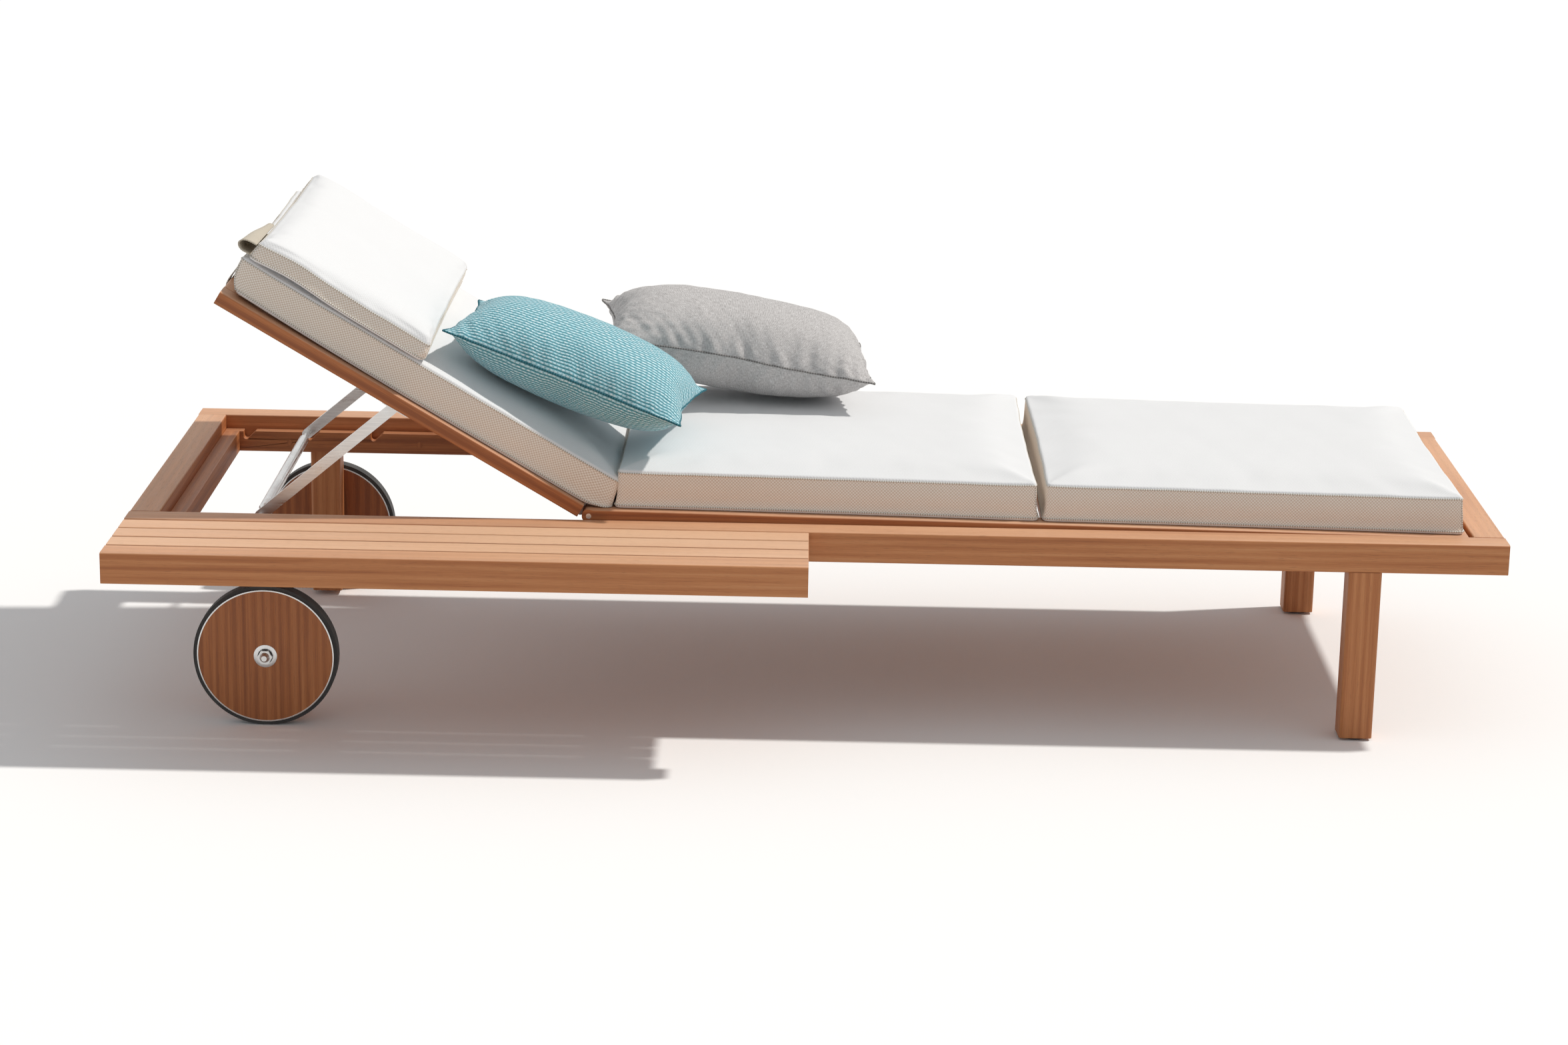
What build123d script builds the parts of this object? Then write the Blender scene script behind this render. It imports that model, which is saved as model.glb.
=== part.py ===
from build123d import *
import math
import os

# Wooden sun lounger with a slatted side shelf, a back that props up on a steel
# bail, two wheels at the head end and loose cushions. Millimetres, +Z up.
# +X runs from the head end to the foot end, and the shelf is on the -Y side.
# The origin is on the floor, at the middle of the overall length and depth.

os.makedirs("parts", exist_ok=True)

# Overall frame
frame_length = 2000.0
frame_width = 710.0
frame_top = 300.0
rail_width = 45.0
rail_height = 45.0
edge_ease = 2.5
slat_bevel = 1.5
overrun = 1.0

# Battens inside the rails, which carry the two panels
batten_drop = 22.0
batten_height = 33.0
side_batten_width = 20.0
end_batten_width = 24.0

# Notches in the side battens, which catch the ends of the bail
notch_count = 3
notch_first = 80.0
notch_pitch = 103.0
notch_depth = 13.0
notch_seat_radius = 4.5
notch_ramp_angle = 45.0

# Legs
leg_size = 48.0
leg_inset = 181.0
leg_ease = 5.0
glide_height = 4.0
glide_radius = 18.0
head_leg_lift = 8.0

# Tenons at the joints of the frame
leg_tenon_width = 24.0
leg_tenon_thickness = 20.0
leg_tenon_length = 25.0
member_tenon_thickness = 15.0
member_tenon_height = 25.0
member_tenon_length = 25.0
joint_clearance = 0.1

# Side shelf
shelf_length = 990.0
shelf_slat_width = 44.0
shelf_slat_gap = 3.5
shelf_slat_thickness = 20.0
shelf_slat_count = 3
bearer_count = 3
bearer_width = 45.0
bearer_height = 25.0
bearer_end_inset = 60.0

# Pivot of the back, and the two slatted panels
pivot_from_head = 669.0
pivot_height = 304.0
panel_side_gap = 4.0
stile_width = 40.0
stile_thickness = 20.0
panel_slat_width = 52.0
panel_slat_thickness = 12.0
tenon_length = 10.0
tenon_thickness = 6.0
tenon_shoulder = 6.0
tenon_clearance = 0.1
deck_slat_count = 16
deck_first_slat = 14.0
deck_end_gap = 6.0
back_slat_count = 8
back_first_slat = 22.0
back_panel_length = 620.0
back_end_gap = 14.0
hinge_beam_width = 45.0
hinge_beam_height = 45.0
hinge_beam_offset = 8.0
lap_clearance = 0.1

# Hinge plates and bolts
plate_thickness = 3.0
plate_length = 66.0
plate_depth = 13.0
plate_eye_radius = 9.0
plate_ease = 4.0
plate_run_gap = 0.3
slat_clearance = 0.3
hinge_bolt_radius = 4.0
running_clearance = 0.05
hinge_bolt_head_radius = 7.0
hinge_bolt_head_height = 3.0
hinge_bolt_recess = 0.5
hinge_relief_margin = 1.5

# Bail that props the back
back_rest_angle = 30.35
bail_pivot_reach = 319.45
bail_pivot_drop = 12.0
bail_arm_length = 267.1
bail_arm_width = 16.0
bail_arm_thickness = 6.0
bail_pin_radius = 4.0
bail_tube_radius = 8.0
bail_neck_length = 26.0
bail_cone_length = 14.0
bail_pin_lift = 1.15
bail_pin_overlap = 14.0
bracket_thickness = 3.0
bracket_length = 50.0
bracket_margin = 9.0
bracket_ease = 7.0
bracket_gap = 0.4
bail_pivot_radius = 4.0
bail_pivot_head_radius = 6.5
bail_pivot_head_height = 2.5

# Wheels
wheel_radius = 105.0
tyre_depth = 6.0
tyre_width = 22.0
wheel_thickness = 26.0
bush_radius = 11.0
axle_radius = 6.0
bush_overhang = 2.5
wheel_side_gap = 0.4
head_sides = 6
cap_nut_flats = 19.0
cap_nut_height = 5.0
cap_dome_radius = 7.5
cap_dome_height = 6.0
cap_tip_radius = 4.0
axle_head_radius = 11.0
axle_head_height = 5.0

# Cushions
cushion_width = 590.0
cushion_edge = 58.0
cushion_crown = 8.0
cushion_draw = 4.0
cushion_corner = 16.0
pad_round_steps = 2
crown_steps = 2
side_steps = 4
corner_steps = 3
crown_run = 120.0
cushion_top_ease = 9.0
cushion_bottom_ease = 14.0
cushion_gap = 4.0
cushion_end_gap = 4.0
seat_cushion_start = 40.0
back_cushion_start = 9.0
back_cushion_length = 609.0
headrest_start = 320.0
headrest_length = 290.0
headrest_edge = 30.0
headrest_crown = 6.0
headrest_ease = 8.0
headrest_run = 80.0
soft_clearance = 0.3

# Straps that hold the headrest over the head end of the back
strap_width = 38.0
strap_thickness = 2.0
strap_spread = 360.0
strap_height = 42.0
strap_return = 44.0

# Scatter cushions: size, then place of the middle
teal_length = 362.0
teal_width = 280.0
teal_thickness = 124.0
teal_headrest_gap = 12.5
teal_side = 140.0
teal_tilt = 10.5
teal_turn = -6.0
teal_lift = 16.1
grey_length = 420.0
grey_width = 285.0
grey_thickness = 142.0
grey_reach = 201.0
grey_side = 185.0
grey_tilt = 9.0
grey_turn = -4.0
grey_lift = 14.6
scatter_draw = 16.0
scatter_corner = 10.0
scatter_flat = 0.42
scatter_taper = 0.58
scatter_steps = 4

# Places worked out from the sizes above
wheel_reach = 2.0 * (wheel_side_gap + bush_overhang) + wheel_thickness
wheel_reach += cap_nut_height + cap_dome_height
shelf_pitch = shelf_slat_width + shelf_slat_gap
shelf_width = (shelf_slat_count + 1) * shelf_pitch
total_depth = shelf_width + frame_width + wheel_reach

head_x = -frame_length / 2.0
foot_x = frame_length / 2.0
near_y = -total_depth / 2.0 + shelf_width
far_y = near_y + frame_width
middle_y = (near_y + far_y) / 2.0
near_inner_y = near_y + rail_width
far_inner_y = far_y - rail_width
rail_bottom = frame_top - rail_height
batten_top = frame_top - batten_drop
batten_bottom = batten_top - batten_height
head_inner_x = head_x + rail_width
foot_inner_x = foot_x - rail_width
pivot_x = head_x + pivot_from_head
panel_width = frame_width - 2.0 * rail_width - 2.0 * panel_side_gap
stile_inner = panel_width / 2.0 - stile_width
half_stile = stile_thickness / 2.0
slat_under = half_stile - panel_slat_thickness

deck_run = foot_inner_x - deck_end_gap - pivot_x
deck_fall = pivot_height - half_stile - batten_top
deck_slope = math.degrees(math.asin(deck_fall / deck_run))
deck_frame = Pos(pivot_x, middle_y, pivot_height) * Rot(0, deck_slope, 0)
back_frame = Pos(pivot_x, middle_y, pivot_height) * Rot(0, back_rest_angle, 0) * Rot(0, 0, 180)

leg_middle_x = head_x + leg_inset + leg_size / 2.0
foot_leg_x = foot_x - leg_inset - leg_size / 2.0


def block(low, high):
    """A box from its lowest corner to its highest."""
    size = [b - a for a, b in zip(low, high)]
    return Pos(*low) * Box(*size, align=(Align.MIN, Align.MIN, Align.MIN))


def eased(solid, axis, radius):
    """The solid with its edges along one axis rounded."""
    return fillet(solid.edges().filter_by(axis), radius)


def top_eased(solid, axis, size):
    """The solid with its upper edges along one axis bevelled."""
    return chamfer(solid.edges().filter_by(axis).group_by(Axis.Z)[-1], size)


def rod_y(x, z, y_low, y_high, radius):
    """A round bar along Y between two places."""
    place = Pos(x, y_low, z) * Rot(-90, 0, 0)
    return place * Cylinder(radius, y_high - y_low, align=(Align.CENTER, Align.CENTER, Align.MIN))


def bolt_head(x, z, y_low, y_high, radius):
    """A six-sided bolt head along Y between two places."""
    place = Pos(x, y_low, z) * Rot(-90, 0, 0)
    return place * extrude(RegularPolygon(radius, head_sides), amount=y_high - y_low)


def save(name, shape):
    export_step(shape, os.path.join("parts", name + ".step"))


def save_group(name, solids):
    save(name, Compound(children=list(solids)))


def leg_tenon(x, side, growth):
    """The tenon of one leg, or with growth its mortise in the long rail."""
    y = middle_y + side * (frame_width - rail_width) / 2.0
    width = leg_tenon_width / 2.0 + growth
    depth = leg_tenon_thickness / 2.0 + growth
    low_z = rail_bottom - (overrun if growth else 0.0)
    return block((x - width, y - depth, low_z), (x + width, y + depth, rail_bottom + leg_tenon_length + growth))


def member_tenon(x, side, growth):
    """The tenon of one end member, or with growth its mortise in the long rail."""
    y = middle_y + side * (frame_width / 2.0 - rail_width)
    level = frame_top - rail_height / 2.0
    thickness = member_tenon_thickness / 2.0 + growth
    height = member_tenon_height / 2.0 + growth
    start = y - side * (overrun if growth else 0.0)
    low_y, high_y = sorted((start, y + side * (member_tenon_length + growth)))
    return block((x - thickness, low_y, level - height), (x + thickness, high_y, level + height))


member_places = (head_x + rail_width / 2.0, foot_x - rail_width / 2.0)
leg_places = (leg_middle_x, foot_leg_x)


def long_rail(side):
    """A long rail with mortises for two legs and two end members."""
    outer = middle_y + side * frame_width / 2.0
    low_y, high_y = sorted((outer, outer - side * rail_width))
    rail = eased(block((head_x, low_y, rail_bottom), (foot_x, high_y, frame_top)), Axis.X, edge_ease)
    for x in leg_places:
        rail -= leg_tenon(x, side, joint_clearance)
    for x in member_places:
        rail -= member_tenon(x, side, joint_clearance)
    return rail


def end_member(x):
    """A member across one end of the frame, tenoned into both long rails."""
    half = rail_width / 2.0
    body = block((x - half, near_inner_y, rail_bottom), (x + half, far_inner_y, frame_top))
    return eased(body, Axis.Y, edge_ease) + member_tenon(x, -1, 0.0) + member_tenon(x, 1, 0.0)


save("near_rail", long_rail(-1))
save("far_rail", long_rail(1))
save("head_member", end_member(member_places[0]))
save("foot_member", end_member(member_places[1]))


def notch_profile(x):
    """A catch for the bail: upright at the head side, round seat, ramp to the foot side."""
    top = batten_top + overrun
    centre_z = batten_top - notch_depth + notch_seat_radius
    ramp = math.radians(notch_ramp_angle)
    tangent_x = x + notch_seat_radius * math.sin(ramp)
    tangent_z = centre_z - notch_seat_radius * math.cos(ramp)
    ramp_x = tangent_x + (top - tangent_z) / math.tan(ramp)
    outline = [
        (x - notch_seat_radius, top),
        (x - notch_seat_radius, centre_z),
        (x, centre_z),
        (tangent_x, tangent_z),
        (ramp_x, top),
    ]
    flank = make_face(Polyline(outline, close=True))
    return flank + Pos(x, centre_z) * Circle(notch_seat_radius)


notch_places = [head_x + notch_first + i * notch_pitch for i in range(notch_count)]
def side_batten(side):
    """Batten along one long rail, with the catches at its head end."""
    outer_y = middle_y + side * (frame_width / 2.0 - rail_width)
    inner_y = outer_y - side * side_batten_width
    low = (head_inner_x, min(outer_y, inner_y), batten_bottom)
    high = (foot_inner_x, max(outer_y, inner_y), batten_top)
    batten = block(low, high)
    for x in notch_places:
        cutter = Plane.XZ.offset(-low[1] + overrun) * notch_profile(x)
        batten -= extrude(cutter, amount=-(side_batten_width + 2.0 * overrun))
    return batten


def end_batten(x_low):
    low = (x_low, near_inner_y + side_batten_width, batten_bottom)
    high = (x_low + end_batten_width, far_inner_y - side_batten_width, batten_top)
    return block(low, high)


save("near_batten", side_batten(-1))
save("far_batten", side_batten(1))
save_group("end_battens", [end_batten(head_inner_x), end_batten(foot_inner_x - end_batten_width)])

axle_level = wheel_radius


def leg(middle_x, side, foot_level, bored):
    """A square leg tenoned up into one long rail, with rounded long edges and a housing for the batten."""
    outer_y = middle_y + side * frame_width / 2.0
    inner_y = outer_y - side * leg_size
    low = (middle_x - leg_size / 2.0, min(outer_y, inner_y), foot_level)
    high = (middle_x + leg_size / 2.0, max(outer_y, inner_y), rail_bottom)
    post = eased(block(low, high), Axis.Z, leg_ease)
    housing_y = outer_y - side * rail_width
    housing_low_y, housing_high_y = sorted((housing_y, inner_y - side * overrun))
    housing_low = (low[0] - overrun, housing_low_y, batten_bottom - lap_clearance)
    post -= block(housing_low, (high[0] + overrun, housing_high_y, high[2] + overrun))
    post += leg_tenon(middle_x, side, 0.0)
    if bored:
        bore_radius = axle_radius + joint_clearance
        post -= rod_y(middle_x, axle_level, low[1] - overrun, high[1] + overrun, bore_radius)
    return post


def glide(side):
    """A low plastic foot under one foot-end leg."""
    y = middle_y + side * (frame_width - leg_size) / 2.0
    disc = Cylinder(glide_radius, glide_height, align=(Align.CENTER, Align.CENTER, Align.MIN))
    return Pos(foot_leg_x, y, 0) * disc


save("near_head_leg", leg(leg_middle_x, -1, head_leg_lift, True))
save("far_head_leg", leg(leg_middle_x, 1, head_leg_lift, True))
save("near_foot_leg", leg(foot_leg_x, -1, glide_height, False))
save("far_foot_leg", leg(foot_leg_x, 1, glide_height, False))
save_group("foot_glides", [glide(-1), glide(1)])


shelf_right = head_x + shelf_length


def shelf_slat(index):
    high_y = near_y - shelf_slat_gap - index * shelf_pitch
    low = (head_x, high_y - shelf_slat_width, frame_top - shelf_slat_thickness)
    return top_eased(block(low, (shelf_right, high_y, frame_top)), Axis.X, slat_bevel)


def shelf_edge_rail():
    high_y = near_y - shelf_slat_gap - shelf_slat_count * shelf_pitch
    low = (head_x, high_y - shelf_slat_width, rail_bottom)
    return eased(block(low, (shelf_right, high_y, frame_top)), Axis.X, edge_ease)


def shelf_bearer(index):
    """A cross bearer under the shelf slats, between the edge rail and the near rail."""
    first = head_x + bearer_end_inset
    span = shelf_length - 2.0 * bearer_end_inset - bearer_width
    x = first + index * span / (bearer_count - 1)
    low_y = near_y - shelf_slat_gap - shelf_slat_count * shelf_pitch
    top = frame_top - shelf_slat_thickness
    return block((x, low_y, top - bearer_height), (x + bearer_width, near_y, top))


save_group("shelf_slats", [shelf_slat(i) for i in range(shelf_slat_count)])
save("shelf_edge_rail", shelf_edge_rail())
save_group("shelf_bearers", [shelf_bearer(i) for i in range(bearer_count)])


def slat_starts(first, last, count):
    """Where each slat starts along a panel, evenly spaced from first to last."""
    step = (last - first - panel_slat_width) / (count - 1)
    return [first + i * step for i in range(count)]


def tenons(start, growth):
    """The two tenons of one slat, or with growth their mortises."""
    low_x = start + tenon_shoulder - growth
    high_x = start + panel_slat_width - tenon_shoulder + growth
    middle_z = half_stile - panel_slat_thickness / 2.0
    low_z = middle_z - tenon_thickness / 2.0 - growth
    high_z = middle_z + tenon_thickness / 2.0 + growth
    root = stile_inner - (overrun if growth else 0.0)
    tip = stile_inner + tenon_length + growth
    near = block((low_x, -tip, low_z), (high_x, -root, high_z))
    far = block((low_x, root, low_z), (high_x, tip, high_z))
    return [near, far]


def panel_slat(start):
    """A cross slat flush with the top of the stiles, tenoned into both."""
    low = (start, -stile_inner, half_stile - panel_slat_thickness)
    high = (start + panel_slat_width, stile_inner, half_stile)
    body = top_eased(block(low, high), Axis.Y, slat_bevel)
    near, far = tenons(start, 0.0)
    return body + near + far


def stile(side, start, length, starts, rounded):
    """A side piece of a panel, mortised for its slats."""
    outer = side * panel_width / 2.0
    inner = side * stile_inner
    low = (start, min(outer, inner), -half_stile)
    high = (length, max(outer, inner), half_stile)
    piece = eased(block(low, high), Axis.X, edge_ease)
    if rounded:
        piece += rod_y(start, 0, low[1], high[1], half_stile)
    for place in starts:
        piece -= tenons(place, tenon_clearance)
    return piece


def hinge_plate(side):
    """A steel plate under the slats, on the inner face of a back stile, with an eye at the pivot."""
    top = slat_under - slat_clearance
    low = top - plate_depth
    step = back_end_gap + plate_ease / 2.0
    outline = [
        (0, plate_eye_radius),
        (step, plate_eye_radius),
        (step, top),
        (plate_length, top),
        (plate_length, low),
        (plate_eye_radius, low),
        (0, -plate_eye_radius),
    ]
    blank = make_face(Polyline(outline, close=True)) + Circle(plate_eye_radius)
    ends = blank.vertices().group_by(Axis.X)[-1]
    return flat_plate(side, fillet(ends, plate_ease), plate_thickness)


def flat_plate(side, outline, thickness):
    """A plate of one outline, drawn along and across a panel, on the inner face of a stile."""
    outer = side * stile_inner
    inner = outer - side * thickness
    return Pos(0, max(outer, inner), 0) * extrude(Plane.XZ * outline, amount=thickness)


def bolt_bore(side, radius):
    """The pivot line of the back through one side of the panels."""
    low, high = sorted((side * (panel_width / 2.0 + overrun), side * (stile_inner - plate_thickness - overrun)))
    return rod_y(0, 0, low, high, radius)


def plate_relief(side):
    """A shallow round recess in the deck stile, so that the hinge plate runs clear of it."""
    low, high = sorted((side * (stile_inner + plate_run_gap), side * (stile_inner - overrun)))
    return rod_y(0, 0, low, high, half_stile + hinge_relief_margin)


deck_starts = slat_starts(deck_first_slat, deck_run, deck_slat_count)
back_starts = slat_starts(back_first_slat, back_panel_length, back_slat_count)
half_deck = deck_slat_count // 2


def deck_stile(side):
    piece = stile(side, 0, deck_run, deck_starts, True)
    return piece - bolt_bore(side, hinge_bolt_radius) - plate_relief(side)


def back_stile(side):
    return stile(side, back_end_gap, back_panel_length, back_starts, False)


def bail_bracket(side):
    """A small steel plate on a back stile that carries one pivot of the bail."""
    high = slat_under - slat_clearance
    low = -bail_pivot_drop - bracket_margin
    outline = Pos(bail_pivot_reach, (low + high) / 2.0) * Rectangle(bracket_length, high - low)
    lower = outline.vertices().group_by(Axis.Y)[0]
    plate = flat_plate(side, fillet(lower, bracket_ease), bracket_thickness)
    low, high = sorted((side * (stile_inner + overrun), side * (stile_inner - bracket_thickness - overrun)))
    return plate - rod_y(bail_pivot_reach, -bail_pivot_drop, low, high, bail_pivot_radius)


save("near_deck_stile", deck_frame * deck_stile(-1))
save("far_deck_stile", deck_frame * deck_stile(1))
save_group("seat_slats", [deck_frame * panel_slat(x) for x in deck_starts[:half_deck]])
save_group("foot_slats", [deck_frame * panel_slat(x) for x in deck_starts[half_deck:]])
save("near_back_stile", back_frame * back_stile(1))
save("far_back_stile", back_frame * back_stile(-1))
for i, x in enumerate(back_starts):
    save("back_slat_%d" % (i + 1), back_frame * panel_slat(x))


def hinge_beam():
    """Cross beam lapped over the side battens, its top planed to the slope of the deck."""
    low_x = pivot_x + hinge_beam_offset
    high_x = low_x + hinge_beam_width
    shoulder = side_batten_width + lap_clearance
    level = pivot_height - half_stile
    tongue = block((low_x, near_inner_y, batten_top), (high_x, far_inner_y, level))
    low = (low_x, near_inner_y + shoulder, level - hinge_beam_height)
    beam = tongue + block(low, (high_x, far_inner_y - shoulder, level))
    waste = block((0, -frame_width / 2.0, -half_stile), (frame_length, frame_width / 2.0, half_stile))
    return beam - deck_frame * waste


save("hinge_beam", hinge_beam())


def drilled_plate(side):
    return hinge_plate(side) - bolt_bore(side, hinge_bolt_radius + running_clearance)


def hinge_bolt(side):
    """Pivot bolt, tight in the deck stile, with its head inside the hinge plate."""
    shank_out = side * (panel_width / 2.0 - hinge_bolt_recess)
    head_out = side * (stile_inner - plate_thickness - plate_run_gap)
    head_in = head_out - side * hinge_bolt_head_height
    shank_low, shank_high = sorted((shank_out, head_out))
    head_low, head_high = sorted((head_in, head_out))
    head = bolt_head(0, 0, head_low, head_high, hinge_bolt_head_radius)
    return rod_y(0, 0, shank_low, shank_high, hinge_bolt_radius) + head


save_group("hinge_plates", [back_frame * drilled_plate(side) for side in (-1, 1)])
save_group("hinge_bolts", [deck_frame * hinge_bolt(side) for side in (-1, 1)])
save_group("bail_brackets", [back_frame * bail_bracket(side) for side in (-1, 1)])

# The bail at rest: its upper pivots on the back, its pins just over the batten tops
rest = math.radians(back_rest_angle)
bail_top_x = pivot_x - bail_pivot_reach * math.cos(rest) - bail_pivot_drop * math.sin(rest)
bail_top_z = pivot_height + bail_pivot_reach * math.sin(rest) - bail_pivot_drop * math.cos(rest)
bail_low_z = batten_top + bail_pin_radius + bail_pin_lift
bail_angle = math.degrees(math.asin((bail_top_z - bail_low_z) / bail_arm_length))
bail_frame = Pos(bail_top_x, middle_y, bail_top_z) * Rot(0, -bail_angle, 0) * Rot(0, 0, 180)
arm_outer = stile_inner - bracket_thickness - bracket_gap
arm_inner = arm_outer - bail_arm_thickness
pin_tip = frame_width / 2.0 - rail_width - side_batten_width + bail_pin_overlap


def bail_arm(side):
    """A flat steel arm with round ends and eased edges, bored at both ends."""
    low, high = sorted((side * arm_outer, side * arm_inner))
    outline = Pos(bail_arm_length / 2.0, 0) * SlotCenterToCenter(bail_arm_length, bail_arm_width)
    arm = Pos(0, high, 0) * extrude(Plane.XZ * outline, amount=bail_arm_thickness)
    arm -= rod_y(0, 0, low - overrun, high + overrun, bail_pivot_radius + running_clearance)
    return arm - rod_y(bail_arm_length, 0, low - overrun, high + overrun, bail_pin_radius)


def bail_crossbar():
    """The bar between the arms: thick tube, cones, thin necks and the pins outside the arms."""
    neck = arm_inner - bail_neck_length
    side = [
        (bail_tube_radius, neck - bail_cone_length),
        (bail_pin_radius, neck),
        (bail_pin_radius, pin_tip),
        (0, pin_tip),
    ]
    other = [(x, -y) for x, y in reversed(side)]
    bar = revolve(make_face(Polyline(other + side, close=True)), Axis.Y)
    return Pos(bail_arm_length, 0, 0) * bar


def bail_pivot(side):
    """Pivot pin of one arm, tight in its bracket, with its head inside the arm."""
    head_out = side * (arm_inner - plate_run_gap)
    head_in = head_out - side * bail_pivot_head_height
    shank_low, shank_high = sorted((side * stile_inner, head_out))
    head_low, head_high = sorted((head_in, head_out))
    head = bolt_head(0, 0, head_low, head_high, bail_pivot_head_radius)
    return rod_y(0, 0, shank_low, shank_high, bail_pivot_radius) + head


save("near_bail_arm", bail_frame * bail_arm(1))
save("far_bail_arm", bail_frame * bail_arm(-1))
save("bail_crossbar", bail_frame * bail_crossbar())
save_group("bail_pivots", [bail_frame * bail_pivot(side) for side in (-1, 1)])


def ring_y(x, z, y_low, y_high, inner, outer):
    ring = rod_y(x, z, y_low, y_high, outer)
    return ring - rod_y(x, z, y_low - overrun, y_high + overrun, inner)


# Distances of the wheel's layers from the outer face of the leg
disc_start = wheel_side_gap + bush_overhang
disc_end = disc_start + wheel_thickness
nut_start = disc_end + bush_overhang + wheel_side_gap
nut_end = nut_start + cap_nut_height


def outward(side, start, end):
    """The low and high Y of a layer that lies outside one long rail."""
    face = middle_y + side * frame_width / 2.0
    a, b = face + side * start, face + side * end
    return min(a, b), max(a, b)


def wheel_disc(side):
    """A wooden disc, bored for its bush."""
    low, high = outward(side, disc_start, disc_end)
    disc = rod_y(leg_middle_x, axle_level, low, high, wheel_radius - tyre_depth)
    return disc - rod_y(leg_middle_x, axle_level, low - overrun, high + overrun, bush_radius)


def tyre(side):
    low, high = outward(side, disc_start, disc_end)
    inset = (wheel_thickness - tyre_width) / 2.0
    return ring_y(leg_middle_x, axle_level, low + inset, high - inset, wheel_radius - tyre_depth, wheel_radius)


def wheel_bush(side):
    """The bearing bush, longer than the disc is thick, so that it also spaces the wheel."""
    low, high = outward(side, wheel_side_gap, nut_start - wheel_side_gap)
    return ring_y(leg_middle_x, axle_level, low, high, axle_radius + running_clearance, bush_radius)


def axle(side):
    """The axle bolt: head inside the leg, shank out through the wheel."""
    shank_low, shank_high = outward(side, -leg_size, nut_end)
    head_low, head_high = outward(side, -leg_size - axle_head_height, -leg_size)
    shank = rod_y(leg_middle_x, axle_level, shank_low, shank_high, axle_radius)
    head = bolt_head(leg_middle_x, axle_level, head_low, head_high, axle_head_radius)
    return shank + head


def cap_nut(side):
    """A hexagon nut with a domed cap, bored for the end of the axle."""
    face = middle_y + side * frame_width / 2.0
    turn = Rot(-90 * side, 0, 0)
    hexagon = RegularPolygon(cap_nut_flats / 2.0, head_sides, major_radius=False)
    nut = Pos(leg_middle_x, face + side * nut_start, axle_level) * turn * extrude(hexagon, amount=cap_nut_height)
    dome = Cone(cap_dome_radius, cap_tip_radius, cap_dome_height, align=(Align.CENTER, Align.CENTER, Align.MIN))
    nut += Pos(leg_middle_x, face + side * nut_end, axle_level) * turn * dome
    low, high = outward(side, nut_start - overrun, nut_end)
    return nut - rod_y(leg_middle_x, axle_level, low, high, axle_radius)


for side, word in ((-1, "near"), (1, "far")):
    save(word + "_wheel_disc", wheel_disc(side))
    save(word + "_tyre", tyre(side))
    save(word + "_wheel_bush", wheel_bush(side))
save_group("axles", [axle(-1), axle(1)])
save_group("cap_nuts", [cap_nut(-1), cap_nut(1)])


def round_corner(before, corner, after, radius):
    """Points that take a corner round, set out only by the directions of its two sides."""
    inward, onward = (corner - before).normalized(), (after - corner).normalized()
    points = []
    for i in range(corner_steps + 1):
        turn = math.radians(90.0 * i / corner_steps)
        points.append(corner - inward * radius * (1.0 - math.sin(turn)) + onward * radius * (1.0 - math.cos(turn)))
    return points


def drawn_outline(length, width, lean_x, lean_y, corner, level):
    """Points round a rectangle with drawn-in sides and round corners, whose edges keep their directions at any size."""
    half_x, half_y = length / 2.0, width / 2.0
    shares = [1.0 - 2.0 * i / side_steps for i in range(side_steps)]
    points = [Vector(half_x * t, half_y - lean_y * half_x * (1.0 - t * t)) for t in shares]
    points += [Vector(lean_x * half_y * (1.0 - t * t) - half_x, half_y * t) for t in shares]
    points += [point * -1 for point in points]
    outline = []
    for i, point in enumerate(points):
        if i % side_steps:
            outline.append(point)
        else:
            outline += round_corner(points[i - 1], point, points[i + 1], corner)
    return [Vector(point.X, point.Y, level) for point in outline]


def stacked(rings):
    """A solid of flat faces through rings of points, one above another."""
    faces = [Face(Wire.make_polygon(rings[0])), Face(Wire.make_polygon(rings[-1]))]
    for low, high in zip(rings, rings[1:]):
        for i in range(len(low)):
            faces.append(Face(Wire.make_polygon([low[i - 1], low[i], high[i], high[i - 1]])))
    return Solid(Shell(faces))


def pad_levels(edge, crown, run, top_ease, bottom_ease):
    """Height and inset of each section of a boxed cushion, from its base to the top of its crown."""
    levels = []
    for i in range(pad_round_steps + 1):
        turn = math.radians(90.0 * i / pad_round_steps)
        levels.append((bottom_ease * (1.0 - math.cos(turn)), bottom_ease * (1.0 - math.sin(turn))))
    for i in range(pad_round_steps + 1):
        turn = math.radians(90.0 * i / pad_round_steps)
        levels.append((edge - top_ease * (1.0 - math.sin(turn)), top_ease * (1.0 - math.cos(turn))))
    for i in range(1, crown_steps + 1):
        share = i / crown_steps
        levels.append((edge + crown * (1.0 - (1.0 - share) ** 2), top_ease + run * share))
    return levels


def pad(length, edge, crown, run, top_ease, bottom_ease):
    """A boxed cushion: crowned top, drawn-in sides and rounded edges, its base at zero."""
    lean_x, lean_y = 2.0 * cushion_draw / cushion_width, 2.0 * cushion_draw / length
    rings = []
    for level, inset in pad_levels(edge, crown, run, top_ease, bottom_ease):
        size = (length - 2.0 * inset, cushion_width - 2.0 * inset)
        rings.append(drawn_outline(*size, lean_x, lean_y, cushion_corner, level))
    return stacked(rings)


pad_base = half_stile + soft_clearance
cushion_length = (deck_run - seat_cushion_start - cushion_gap - cushion_end_gap) / 2.0
seat_middle = seat_cushion_start + cushion_length / 2.0
foot_middle = seat_middle + cushion_length + cushion_gap
back_middle = back_cushion_start + back_cushion_length / 2.0
headrest_middle = headrest_start + headrest_length / 2.0
pad_top = pad_base + cushion_edge + cushion_crown


def deck_cushion(middle):
    solid = pad(cushion_length, cushion_edge, cushion_crown, crown_run, cushion_top_ease, cushion_bottom_ease)
    return deck_frame * Pos(middle, 0, pad_base) * solid


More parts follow.
